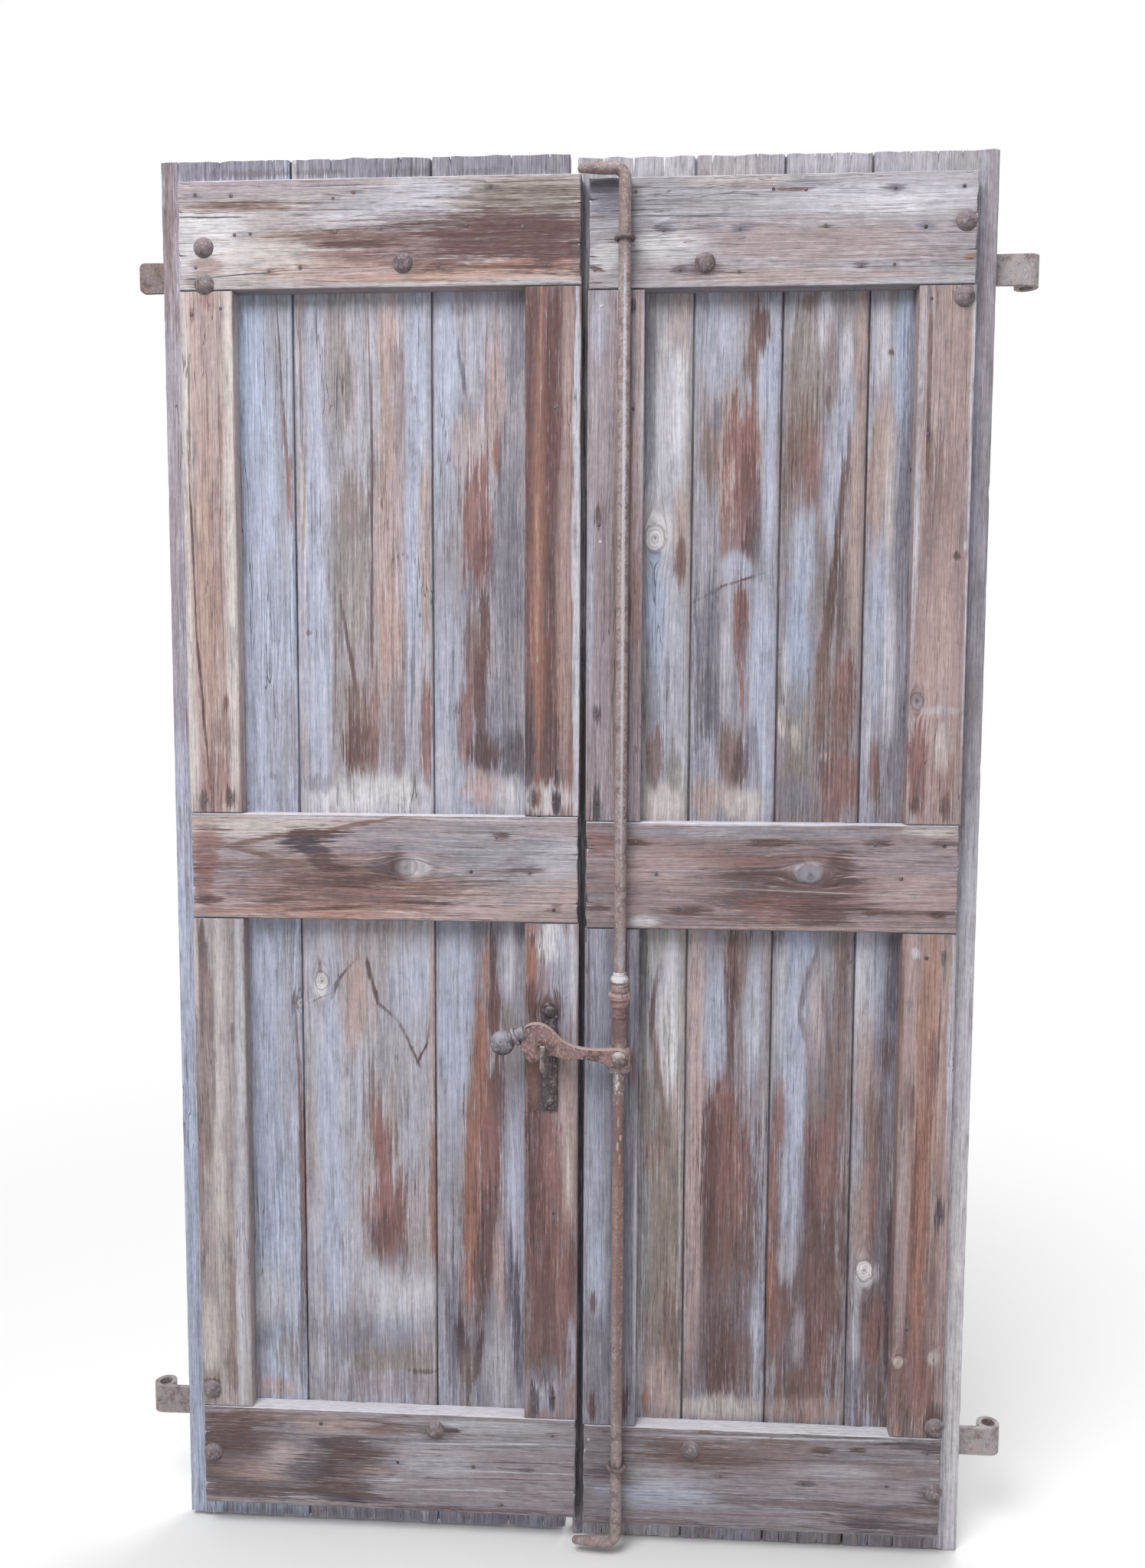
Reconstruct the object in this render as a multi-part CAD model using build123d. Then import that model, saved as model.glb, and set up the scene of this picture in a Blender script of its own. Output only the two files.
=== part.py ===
from build123d import *
import math
import os

# A pair of old boarded shutter leaves, seen from inside: +X right, +Y outdoors, +Z up.
# The origin is under the middle of the pair, in the plane where boards and framework meet.
# All sizes are in millimetres.

# Leaves
pair_width = 1100.0
leaf_height = 1902.0
leaf_step = 6.0
board_thickness = 22.0
frame_thickness = 25.0

# Boards: widths counted from the first board of each leaf, the last board takes the rest
left_board_widths = (176.0, 188.0)
right_board_widths = (154.0, 116.0, 112.0)
board_gap = 2.5
tongue_length = 8.0
tongue_thickness = 7.0
groove_play = 0.6
board_ease = 1.5

# Framework
hinge_lip = 30.0
top_lip = 35.0
bottom_lip = 34.0
top_rail_height = 140.0
middle_rail_height = 145.0
bottom_rail_height = 145.0
middle_rail_bottom = 886.0
outer_stile_width = 72.0
meeting_stile_width = 74.0
butt_gap = 0.8
frame_ease = 2.5

# Meeting edge: the left framework laps over the right boards
left_board_edge = -2.0
leaf_gap = 10.0
frame_overhang = 17.0
frame_gap = 8.0
lap_clearance = 1.0

# Strap hinges on the outdoor face, placed from the inner edges of the top and bottom rails
strap_thickness = 6.5
strap_height = 40.0
strap_tip_height = 32.0
strap_tip_run = 24.0
eye_bore_radius = 9.0
eye_reach = 48.0
stub_reach = 41.0
stub_corner = 7.0
cross_width = 46.0
cross_end_margin = 20.0
cross_corner = 15.0
wide_cross = 47.0
narrow_cross = 23.5
upper_strap_rise = 31.0
left_lower_strap_drop = 22.0
right_lower_strap_drop = 30.0

# Strap bolts, placed from the hinge edge of the boards, the right arms' from their board's joint
bolt_radius = 5.0
bolt_play = 0.3
bolt_head_radius = 13.5
bolt_head_height = 7.5
bolt_end = 3.0
nut_side = 20.0
nut_thickness = 8.0
nut_turn = 19.0
left_upper_bolts_inset = 65.0
left_lower_bolts_inset = 44.0
right_upper_bolts_inset = 46.0
right_lower_bolts_inset = 41.0
left_upper_arm_bolt = 330.0
left_lower_arm_bolt = 365.0
right_arm_bolt_inset = 12.0

# Rod bolt
rod_radius = 8.0
rod_inset = 48.0
rod_top_drop = 30.0
rod_bottom = 20.0
hook_bend_radius = 14.0
hook_length = 61.0
hook_tip_radius = 5.5
hook_taper_length = 34.0
guide_bar_radius = 2.8
guide_play = 0.4
collar_stand_off = 0.7
guide_shank_radius = 4.0
guide_shank_depth = 22.0
guide_point_length = 6.0
guide_point_radius = 1.3
upper_guide_rise = 58.0
lower_guide_rise = 97.0

# Hub and lever pivot
pivot_height = 716.0
hub_width = 31.0
hub_height = 33.0
hub_depth = 20.0
hub_round = 8.0
hub_drop = 5.5
hub_ease = 5.0
pin_radius = 4.5
pin_seat_play = 0.05
pin_swing_play = 0.1
pin_head_radius = 10.3
pin_head_height = 6.5
lever_play = 0.3
lever_thickness = 9.0
lever_eye_radius = 13.0
lever_ease = 1.8

# Lever outline, left and up from the pivot: its upper edge, the blunt end, the belly and the underside
lever_top = ((28.0, 12.0), (56.0, 15.0), (76.0, 24.0), (93.0, 40.0), (108.0, 46.0), (121.0, 44.0))
lever_shoulder = (130.0, 33.0)
lever_heel = (132.0, 16.0)
lever_belly = ((126.0, 0.0), (115.0, -8.5), (108.0, -6.0))
lever_notch_wall = 106.0
lever_notch_ease = 1.5
lever_notch_start = 88.0
lever_notch_rise = 1.7
lever_underside = ((76.0, -2.2), (52.0, -2.2), (32.0, -4.0), (14.0, -10.0))
lever_shoulder_course = (0.3, -1.0)
lever_heel_course = (-0.1, -1.0)
lever_seat_course = (-1.0, -0.2)

# Turned collar on the rod, heights above its lower end
collar_sleeve_radius = 9.7
collar_sleeve_height = 40.0
collar_ring_radius = 10.4
collar_ring_height = 5.0
collar_neck_radius = 9.0
collar_neck_height = 8.0
collar_bead_height = 3.5
collar_bead_radius = 9.9
collar_cup_radius = 12.0
collar_cup_height = 10.0
collar_flange_radius = 15.5
collar_flange_height = 8.5
collar_flange_bulge = 1.0
collar_band_radius = 11.6
collar_band_height = 8.5
collar_ball_radius = 12.6
collar_ball_height = 15.0
collar_ball_foot = 9.6
collar_cap_height = 5.0
collar_cap_radius = 8.5

# Knob on the lever, placed from the pivot: leftwards and upwards
knob_left = 156.5
knob_up = 17.7
knob_radius = 16.6
knob_slope = 28.0
knob_neck_radius = 8.5
knob_neck_length = 34.0
knob_collar_radius = 13.0
knob_collar_width = 5.0
knob_collar_place = 19.5
knob_collar_ease = 1.8

# Catch on the left leaf
catch_inset = 39.0
catch_width = 20.0
catch_plate_drop = 85.0
catch_plate_height = 152.0
catch_plate_thickness = 3.0
catch_top_nail_drop = 14.0
catch_bottom_nail_rise = 12.0
catch_top_nail_head = 8.5
catch_bottom_nail_head = 4.8
catch_nail_radius = 2.2
catch_nail_length = 20.0
catch_nail_dome = 3.2
hook_plate_thickness = 6.5
hook_plate_turn = 10.0
hook_root = 1.0
hook_web_drop = 25.0
hook_leg_thickness = 7.0
hook_leg_rise = 16.0
hook_throat_play = 1.2
hook_rest_play = 0.5
hook_bottom_round = 12.0
hook_leg_round = 3.0

# Places worked out from the sizes
board_back = board_thickness
frame_front = -frame_thickness
left_frame_edge = left_board_edge + frame_overhang
right_board_edge = left_board_edge + leaf_gap
right_frame_edge = left_frame_edge + frame_gap
strap_back = board_back + strap_thickness
eye_radius = eye_bore_radius + strap_thickness
top_rail_bottom = leaf_height - top_lip - top_rail_height
bottom_rail_top = bottom_lip + bottom_rail_height
upper_strap_height = top_rail_bottom + upper_strap_rise
left_lower_strap_height = bottom_rail_top - left_lower_strap_drop
right_lower_strap_height = bottom_rail_top - right_lower_strap_drop
right_arm_bolt = pair_width / 2 - right_board_edge - right_board_widths[0] - right_arm_bolt_inset
drill_reach = 4 * (frame_thickness + board_thickness)
rod_top = leaf_height - rod_top_drop
upper_guide_height = top_rail_bottom + upper_guide_rise
lower_guide_height = bottom_lip + lower_guide_rise
guide_ring_radius = rod_radius + guide_play + guide_bar_radius
rod_x = right_frame_edge + rod_inset
rod_y = frame_front - collar_stand_off - collar_flange_radius
lever_back = rod_y - hub_depth / 2 - lever_play
lever_front = lever_back - lever_thickness
lever_middle = lever_back - lever_thickness / 2
catch_x = left_frame_edge - catch_inset
catch_face = frame_front - catch_plate_thickness
catch_plate_bottom = pivot_height - catch_plate_drop


def block(x_range, y_range, z_range):
    """A plain box from its three ranges."""
    ranges = (x_range, y_range, z_range)
    size = [high - low for low, high in ranges]
    middle = [(high + low) / 2 for low, high in ranges]
    return Pos(*middle) * Box(*size)


def along_y(shape, x, y, z):
    """Stand a shape made along +Z on the point given, pointing indoors along -Y."""
    return Pos(x, y, z) * Rot(90, 0, 0) * shape


def hole_along_y(x, z, radius):
    """A drill that passes through everything at one place of a leaf."""
    return along_y(Cylinder(radius, drill_reach), x, 0, z)


def drill(piece, holes):
    """Cut the holes that reach the piece."""
    box = piece.bounding_box()
    for hole in holes:
        cut = hole.bounding_box()
        beside = cut.max.X < box.min.X or cut.min.X > box.max.X
        clear = cut.max.Z < box.min.Z or cut.min.Z > box.max.Z
        if not (beside or clear):
            piece = piece - hole
    return piece


def domed_pin(head_radius, head_height, shank_radius, shank_length):
    """A round-headed pin: the head's flat seat at the origin, the dome up, the shank down."""
    ball = (head_radius ** 2 + head_height ** 2) / (2 * head_height)
    half_angle = math.asin(head_radius / ball) / 2
    shoulder = (ball * math.sin(half_angle), head_height - ball * (1 - math.cos(half_angle)))
    dome = ThreePointArc((0, head_height), shoulder, (head_radius, 0))
    sides = Polyline((head_radius, 0), (shank_radius, 0), (shank_radius, -shank_length), (0, -shank_length),
                     (0, head_height))
    profile = Plane.XZ * make_face([dome, *sides.edges()])
    return revolve(profile, Axis.Z)


class Leaf:
    """One leaf's places: side is the hinge side, -1 for the left leaf and 1 for the right."""

    def __init__(self, name, side, board_edge, frame_edge, base):
        self.name = name
        self.side = side
        self.base = base
        self.hinge_edge = side * pair_width / 2
        self.board_edge = board_edge
        self.frame_edge = frame_edge
        self.frame_hinge_edge = self.hinge_edge - side * hinge_lip

    def x_range(self, from_edge, to_edge):
        return (min(from_edge, to_edge), max(from_edge, to_edge))

    def from_hinge(self, distance):
        """A place across the leaf, counted from the hinge edge of its boards."""
        return self.hinge_edge - self.side * distance


left = Leaf("left", -1, left_board_edge, left_frame_edge, leaf_step)
right = Leaf("right", 1, right_board_edge, right_frame_edge, 0.0)


def board(x_low, x_high, base, has_groove, has_tongue):
    """An upright board, its groove at the low end and its tongue at the high end of X."""
    gap = board_gap / 2
    low = x_low + (gap if has_groove else 0)
    high = x_high - (gap if has_tongue else 0)
    profile = Pos((low + high) / 2, board_thickness / 2) * Rectangle(high - low, board_thickness)
    profile = chamfer(profile.vertices(), board_ease)
    middle = board_thickness / 2
    if has_tongue:
        tongue_run = board_gap + tongue_length
        tongue = Rectangle(2 * tongue_run, tongue_thickness)
        profile = profile + Pos(high, middle) * tongue
    if has_groove:
        groove_run = tongue_length + groove_play
        groove = Rectangle(2 * groove_run, tongue_thickness + 2 * groove_play)
        profile = profile - Pos(low, middle) * groove
    return Pos(0, 0, base) * extrude(profile, leaf_height)


def boards(leaf, first_edge, widths, last_edge):
    """All boards of a leaf, named from left to right."""
    edges = [first_edge]
    for width in widths:
        edges.append(edges[-1] + width)
    edges.append(last_edge)
    pieces = {}
    count = len(edges) - 1
    for index in range(count):
        name = f"{leaf.name}_board_{index + 1}"
        pieces[name] = board(edges[index], edges[index + 1], leaf.base, index > 0, index < count - 1)
    return pieces


def timber(x_range, z_range):
    """A rail or stile of the framework, with its indoor edges worn round."""
    piece = block(x_range, (frame_front, 0), z_range)
    indoor_edges = piece.faces().sort_by(Axis.Y)[0].edges()
    return fillet(indoor_edges, frame_ease)


def framework(leaf):
    """Three rails across the leaf and four stiles butted between them."""
    across = leaf.x_range(leaf.frame_hinge_edge, leaf.frame_edge)
    outer = leaf.x_range(leaf.frame_hinge_edge, leaf.frame_hinge_edge - leaf.side * outer_stile_width)
    meeting = leaf.x_range(leaf.frame_edge, leaf.frame_edge + leaf.side * meeting_stile_width)
    bottom_rail = (leaf.base + bottom_lip, leaf.base + bottom_rail_top)
    middle_rail = (leaf.base + middle_rail_bottom, leaf.base + middle_rail_bottom + middle_rail_height)
    top_rail = (leaf.base + top_rail_bottom, leaf.base + leaf_height - top_lip)
    lower = (bottom_rail[1] + butt_gap, middle_rail[0] - butt_gap)
    upper = (middle_rail[1] + butt_gap, top_rail[0] - butt_gap)
    places = {
        "top_rail": (across, top_rail),
        "middle_rail": (across, middle_rail),
        "bottom_rail": (across, bottom_rail),
        "upper_outer_stile": (outer, upper),
        "upper_meeting_stile": (meeting, upper),
        "lower_outer_stile": (outer, lower),
        "lower_meeting_stile": (meeting, lower),
    }
    return {f"{leaf.name}_{name}": timber(*ranges) for name, ranges in places.items()}


def relieve_lap(pieces):
    """Plane back the left framework where it laps over the right boards."""
    lap = block((left_board_edge, left_frame_edge + lap_clearance), (-lap_clearance, lap_clearance),
                (0, leaf_step + leaf_height))
    for name, piece in pieces.items():
        if piece.bounding_box().max.X > left_board_edge:
            pieces[name] = piece - lap
    return pieces


class HingeSet:
    """A strap hinge's places: its height on the leaf, its bolts and its outer end."""

    def __init__(self, leaf, height, bolts_inset, cross_half, arm_bolt, has_eye):
        self.leaf = leaf
        self.z = leaf.base + height
        self.cross_half = cross_half
        self.cross_x = leaf.from_hinge(bolts_inset)
        self.arm_x = leaf.from_hinge(arm_bolt)
        self.tip_x = leaf.from_hinge(arm_bolt + strap_tip_run)
        self.eye_x = leaf.from_hinge(-eye_reach)
        self.stub_x = leaf.from_hinge(-stub_reach)
        self.has_eye = has_eye

    def bolt_places(self):
        cross = [(self.cross_x, self.z + self.cross_half), (self.cross_x, self.z - self.cross_half)]
        return [*cross, (self.arm_x, self.z)]


def strap(hinge):
    """The forged strap: a tapered arm with a rounded tip, a cross plate and a rolled eye."""
    side = hinge.leaf.side
    outer_x = hinge.eye_x if hinge.has_eye else hinge.stub_x
    half = strap_height / 2
    tip_half = strap_tip_height / 2
    tip_start = hinge.tip_x + side * tip_half
    arm = make_face([
        Line((outer_x, -half), (outer_x, half)),
        Line((outer_x, half), (tip_start, tip_half)),
        ThreePointArc((tip_start, tip_half), (hinge.tip_x, 0), (tip_start, -tip_half)),
        Line((tip_start, -tip_half), (outer_x, -half)),
    ])
    if not hinge.has_eye:
        ends = arm.vertices().sort_by(Axis.X)
        arm = fillet(ends[:2] if side < 0 else ends[-2:], stub_corner)
    cross_height = 2 * (hinge.cross_half + cross_end_margin)
    cross = Pos(hinge.cross_x, 0) * RectangleRounded(cross_width, cross_height, cross_corner)
    outline = Plane((0, strap_back, hinge.z), x_dir=(1, 0, 0), z_dir=(0, -1, 0)) * (arm + cross)
    piece = extrude(outline, strap_thickness, dir=(0, -1, 0))
    if hinge.has_eye:
        eye_place = Pos(hinge.eye_x, board_back + eye_radius, hinge.z)
        piece = piece + eye_place * Cylinder(eye_radius, strap_height)
        piece = piece - eye_place * Cylinder(eye_bore_radius, 2 * strap_height)
    holes = [hole_along_y(x, z, bolt_radius + bolt_play) for x, z in hinge.bolt_places()]
    return drill(piece, holes)


def bolts(hinge):
    """The strap's bolts, their domed heads on the framework's indoor face."""
    length = frame_thickness + strap_back + nut_thickness + bolt_end
    pin = domed_pin(bolt_head_radius, bolt_head_height, bolt_radius, length)
    return Compound(children=[along_y(pin, x, frame_front, z) for x, z in hinge.bolt_places()])


def nuts(hinge):
    """Square nuts on the strap, each turned as it happened to be tightened."""
    pieces = []
    for index, (x, z) in enumerate(hinge.bolt_places()):
        outline = Rectangle(nut_side, nut_side) - Circle(bolt_radius + bolt_play)
        nut = extrude(outline, nut_thickness)
        pieces.append(along_y(Rot(0, 0, nut_turn * (index + 1)) * nut, x, strap_back + nut_thickness, z))
    return Compound(children=pieces)


def rod():
    """The round bar, bent at both ends into tapered hooks and forged to a hub at the lever."""
    bend_end = rod_x - hook_bend_radius
    straight_end = rod_x - (hook_length - hook_taper_length)
    path = FilletPolyline((straight_end, rod_y, rod_bottom), (rod_x, rod_y, rod_bottom),
                          (rod_x, rod_y, rod_top), (straight_end, rod_y, rod_top), radius=hook_bend_radius)
    section = Plane((straight_end, rod_y, rod_bottom), z_dir=(1, 0, 0)) * Circle(rod_radius)
    bar = sweep(section, path=path)
    taper = Cone(rod_radius, hook_tip_radius, hook_taper_length - hook_tip_radius,
                 align=(Align.CENTER, Align.CENTER, Align.MIN))
    tip_x = straight_end - hook_taper_length + hook_tip_radius
    for z in (rod_bottom, rod_top):
        bar = bar + Pos(straight_end, rod_y, z) * Rot(0, -90, 0) * taper
        bar = bar + Pos(tip_x, rod_y, z) * Sphere(hook_tip_radius)
    bar = bar + Pos(rod_x, rod_y, pivot_height - hub_drop) * rod_hub()
    return bar - hole_along_y(rod_x, pivot_height, pin_radius + pin_seat_play)


def rod_hub():
    """The forged block at the lever: flat in front and rounded off so that it turns clear of the stile."""
    plan = extrude(RectangleRounded(hub_width, hub_depth, hub_round), hub_height / 2, both=True)
    front = Plane.XZ * RectangleRounded(hub_width, hub_height, hub_ease)
    return plan & extrude(front, hub_depth / 2, both=True)


def rod_ornament():
    """The turned collar that stands on the hub: sleeve, rings, cup, flange, ball and cap."""
    bore = rod_radius
    z = pivot_height - hub_drop + hub_height / 2
    lines = []
    point = (bore, z)

    def step(radius, height, bulge=0.0):
        nonlocal point
        shoulder = (radius, point[1])
        end = (radius, point[1] + height)
        if shoulder != point:
            lines.append(Line(point, shoulder))
        if bulge:
            lines.append(ThreePointArc(shoulder, (radius + bulge, shoulder[1] + height / 2), end))
        else:
            lines.append(Line(shoulder, end))
        point = end

    step(collar_sleeve_radius, collar_sleeve_height)
    step(collar_neck_radius, collar_ring_height, collar_ring_radius - collar_neck_radius)
    step(collar_neck_radius, collar_neck_height)
    step(collar_neck_radius, collar_bead_height, collar_bead_radius - collar_neck_radius)
    step(collar_cup_radius, collar_cup_height)
    step(collar_flange_radius - collar_flange_bulge, collar_flange_height, collar_flange_bulge)
    step(collar_band_radius, collar_band_height)
    step(collar_ball_foot, collar_ball_height, collar_ball_radius - collar_ball_foot)
    step(collar_cap_radius, collar_cap_height, collar_neck_radius - collar_cap_radius)
    lines.append(Line(point, (bore, point[1])))
    lines.append(Line((bore, point[1]), (bore, z)))
    profile = Plane.XZ * make_face(lines)
    return Pos(rod_x, rod_y, 0) * revolve(profile, Axis.Z)


def hub_pin():
    """The domed rivet through lever and hub."""
    length = lever_thickness + lever_play + hub_depth
    pin = domed_pin(pin_head_radius, pin_head_height, pin_radius, length)
    return along_y(pin, rod_x, lever_front - lever_play, pivot_height)


def lever_outline():
    """The lever's front: an eye, a slim arm and a shield-shaped plate, left and up from the pivot."""
    crown = (0, lever_eye_radius)
    foot = (0, -lever_eye_radius)
    wall = (lever_notch_wall, 0)
    seat_end = (lever_notch_wall - lever_notch_ease, lever_notch_rise)
    seat_start = (lever_notch_start, lever_notch_rise)
    return make_face([
        Spline(crown, *lever_top, lever_shoulder, tangents=[(1, 0), lever_shoulder_course]),
        Line(lever_shoulder, lever_heel),
        Spline(lever_heel, *lever_belly, wall, tangents=[lever_heel_course, (0, 1)]),
        Line(wall, seat_end),
        Line(seat_end, seat_start),
        Spline(seat_start, *lever_underside, foot, tangents=[lever_seat_course, (-1, 0)]),
        ThreePointArc(foot, (-lever_eye_radius, 0), crown),
    ])


def handle_lever():
    """The cast lever that swings on the hub pin and lies in the catch."""
    piece = extrude(lever_outline(), lever_thickness)
    piece = fillet(piece.faces().sort_by(Axis.Z)[0].edges(), lever_ease)
    place = Plane((rod_x, lever_front, pivot_height), x_dir=(-1, 0, 0), z_dir=(0, 1, 0))
    return place.location * piece - hole_along_y(rod_x, pivot_height, pin_radius + pin_swing_play)


def handle_knob():
    """The ball with its collar and tenon, turned in one and riveted into the lever's end."""
    ball = Sphere(knob_radius)
    neck = Pos(0, 0, knob_neck_length / 2) * Cylinder(knob_neck_radius, knob_neck_length)
    collar = Cylinder(knob_collar_radius, knob_collar_width)
    collar = Pos(0, 0, knob_collar_place) * fillet(collar.edges().filter_by(GeomType.CIRCLE), knob_collar_ease)
    knob = ball + neck + collar
    place = Pos(rod_x - knob_left, lever_middle, pivot_height + knob_up)
    return place * Rot(0, 90 - knob_slope, 0) * knob


def catch_plate():
    """The iron strip on the lower meeting stile, rounded at both ends."""
    outline = SlotOverall(catch_plate_height, catch_width, rotation=90)
    middle = catch_plate_bottom + catch_plate_height / 2
    plane = Plane((catch_x, frame_front, middle), x_dir=(1, 0, 0), z_dir=(0, -1, 0))
    piece = extrude(plane * outline, catch_plate_thickness)
    return drill(piece, catch_nail_holes())


def catch_nail_places():
    top = catch_plate_bottom + catch_plate_height - catch_top_nail_drop
    bottom = catch_plate_bottom + catch_bottom_nail_rise
    return [(top, catch_top_nail_head), (bottom, catch_bottom_nail_head)]


def catch_nail_holes():
    """Holes that stop inside the stile, at the points of the catch's nails."""
    length = catch_plate_thickness + catch_nail_length
    hole = Cylinder(catch_nail_radius, length, align=(Align.CENTER, Align.CENTER, Align.MAX))
    return [along_y(hole, catch_x, catch_face, z) for z, head in catch_nail_places()]


def catch_nails():
    """The two forged nails of the catch."""
    length = catch_plate_thickness + catch_nail_length
    pieces = []
    for z, head in catch_nail_places():
        nail = domed_pin(head, catch_nail_dome, catch_nail_radius, length)
        pieces.append(along_y(nail, catch_x, catch_face, z))
    return Compound(children=pieces)


def catch_hook():
    """The flat forged hook that stands out from the catch plate, with the lever in its throat."""
    rest = pivot_height + lever_notch_rise - hook_rest_play
    throat = catch_face - lever_front + hook_throat_play
    reach = throat + hook_leg_thickness
    bottom = rest - hook_web_drop
    outline = make_face(Polyline(
        (-hook_root, rest), (throat, rest), (throat, rest + hook_leg_rise), (reach, rest + hook_leg_rise),
        (reach, bottom), (-hook_root, bottom), close=True))
    corners = outline.vertices()
    bottom_corner = corners.sort_by_distance((reach, bottom))[0]
    outline = fillet(bottom_corner, hook_bottom_round)
    tips = outline.vertices().sort_by(Axis.Y)[-2:]
    outline = fillet(tips, hook_leg_round)
    turned = Plane((catch_x, catch_face, 0), x_dir=(0, -1, 0), z_dir=(-1, 0, 0))
    plate = extrude(turned * outline, hook_plate_thickness / 2, both=True)
    plate = plate.rotate(Axis((catch_x, catch_face, 0), (0, 0, 1)), -hook_plate_turn)
    return plate - block((catch_x - catch_width, catch_x + catch_width), (catch_face, 0), (0, leaf_height))


def ring_guide(z):
    """A ring guide: an eye of round bar about the rod, on a pointed shank driven into the rail."""
    ring = Pos(rod_x, rod_y, z) * Torus(guide_ring_radius, guide_bar_radius)
    return ring + guide_shank(z)


def guide_shank(z):
    """The shank from the ring to its point inside the rail."""
    root = rod_y + guide_ring_radius - guide_bar_radius / 2
    shoulder = frame_front + guide_shank_depth - guide_point_length
    low_end = (Align.CENTER, Align.CENTER, Align.MAX)
    straight = Cylinder(guide_shank_radius, shoulder - root, align=low_end)
    point = Cone(guide_point_radius, guide_shank_radius, guide_point_length, align=low_end)
    return along_y(straight, rod_x, root, z) + along_y(point, rod_x, shoulder, z)


def make_leaf(leaf, edges, widths, hinges, extra_holes):
    """All the wood of a leaf, drilled for its bolts and its other ironwork."""
    pieces = boards(leaf, edges[0], widths, edges[1])
    pieces.update(framework(leaf))
    if leaf is left:
        pieces = relieve_lap(pieces)
    holes = []
    for hinge in hinges.values():
        holes += [hole_along_y(x, z, bolt_radius + bolt_play) for x, z in hinge.bolt_places()]
    pieces = {name: drill(piece, holes) for name, piece in pieces.items()}
    for name, cutters in extra_holes.items():
        for cutter in cutters:
            pieces[name] = pieces[name] - cutter
    for name, hinge in hinges.items():
        pieces[f"{leaf.name}_{name}_strap"] = strap(hinge)
        pieces[f"{leaf.name}_{name}_bolts"] = bolts(hinge)
        pieces[f"{leaf.name}_{name}_nuts"] = nuts(hinge)
    return pieces


def build():
    """Every piece of the shutter by its name."""
    left_hinges = {
        "upper": HingeSet(left, upper_strap_height, left_upper_bolts_inset, narrow_cross,
                          left_upper_arm_bolt, has_eye=False),
        "lower": HingeSet(left, left_lower_strap_height, left_lower_bolts_inset, wide_cross,
                          left_lower_arm_bolt, has_eye=True),
    }
    right_hinges = {
        "upper": HingeSet(right, upper_strap_height, right_upper_bolts_inset, wide_cross,
                          right_arm_bolt, has_eye=True),
        "lower": HingeSet(right, right_lower_strap_height, right_lower_bolts_inset, wide_cross,
                          right_arm_bolt, has_eye=True),
    }
    left_holes = {"left_lower_meeting_stile": catch_nail_holes()}
    right_holes = {
        "right_top_rail": [guide_shank(upper_guide_height)],
        "right_bottom_rail": [guide_shank(lower_guide_height)],
    }
    pieces = make_leaf(left, (left.hinge_edge, left.board_edge), left_board_widths, left_hinges, left_holes)
    pieces.update(make_leaf(right, (right.board_edge, right.hinge_edge), right_board_widths, right_hinges,
                            right_holes))
    pieces["catch_plate"] = catch_plate()
    pieces["catch_hook"] = catch_hook()
    pieces["catch_nails"] = catch_nails()
    pieces["upper_guide"] = ring_guide(upper_guide_height)
    pieces["lower_guide"] = ring_guide(lower_guide_height)
    pieces["rod"] = rod()
    pieces["rod_ornament"] = rod_ornament()
    pieces["hub_pin"] = hub_pin()
    knob = handle_knob()
    pieces["handle_lever"] = handle_lever() - knob
    pieces["handle_knob"] = knob
    return pieces


def main():
    os.makedirs("parts", exist_ok=True)
    for name, piece in build().items():
        export_step(piece, f"parts/{name}.step")
        print(name, round(piece.volume / 1000, 1), "cm3")


main()
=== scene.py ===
import math
import random
import bmesh
import bpy
from mathutils import Euler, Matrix, Vector, noise as perlin


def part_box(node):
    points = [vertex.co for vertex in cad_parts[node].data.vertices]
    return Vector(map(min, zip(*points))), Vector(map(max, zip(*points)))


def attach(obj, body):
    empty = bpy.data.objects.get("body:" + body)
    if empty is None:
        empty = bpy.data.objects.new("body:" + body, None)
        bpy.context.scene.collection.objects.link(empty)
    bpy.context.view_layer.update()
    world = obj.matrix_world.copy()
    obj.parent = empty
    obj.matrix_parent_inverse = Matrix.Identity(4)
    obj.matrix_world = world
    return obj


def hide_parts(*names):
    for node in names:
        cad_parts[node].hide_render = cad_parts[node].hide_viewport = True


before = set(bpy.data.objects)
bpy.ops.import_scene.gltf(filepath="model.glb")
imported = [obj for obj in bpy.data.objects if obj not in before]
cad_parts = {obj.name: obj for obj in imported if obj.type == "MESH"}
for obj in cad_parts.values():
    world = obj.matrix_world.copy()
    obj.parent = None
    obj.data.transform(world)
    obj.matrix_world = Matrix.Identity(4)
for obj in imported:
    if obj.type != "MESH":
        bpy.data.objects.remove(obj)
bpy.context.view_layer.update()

MM = 0.001

# Colours as sRGB values from 0 to 255.
TONES = {
    "white": (214, 211, 216),
    "pale": (196, 194, 203),
    "cream": (203, 195, 192),
    "lavender": (178, 182, 200),
    "blue": (164, 174, 196),
    "grey": (158, 155, 163),
    "mauve": (158, 148, 156),
    "slate": (126, 124, 136),
    "dark": (86, 77, 84),
    "ink": (60, 52, 60),
    "tan": (177, 157, 153),
    "pink": (184, 164, 164),
    "olive": (142, 132, 123),
    "brown": (126, 104, 99),
    "umber": (98, 80, 79),
    "red": (140, 107, 104),
    "deep": (106, 81, 81),
    "rust": (152, 114, 103),
    "orange": (174, 139, 125),
    # Painted top light: the near white of rails' upward faces.
    "painted_top_light": (232, 229, 236),
}


def linear(value):
    """An sRGB value from 0 to 255 as linear light."""
    value = value / 255.0
    if value <= 0.04045:
        return value / 12.92
    return ((value + 0.055) / 1.055) ** 2.4


def colour(tone):
    red, green, blue = TONES[tone] if isinstance(tone, str) else tone
    return (linear(red), linear(green), linear(blue), 1.0)


# Node trees

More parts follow.
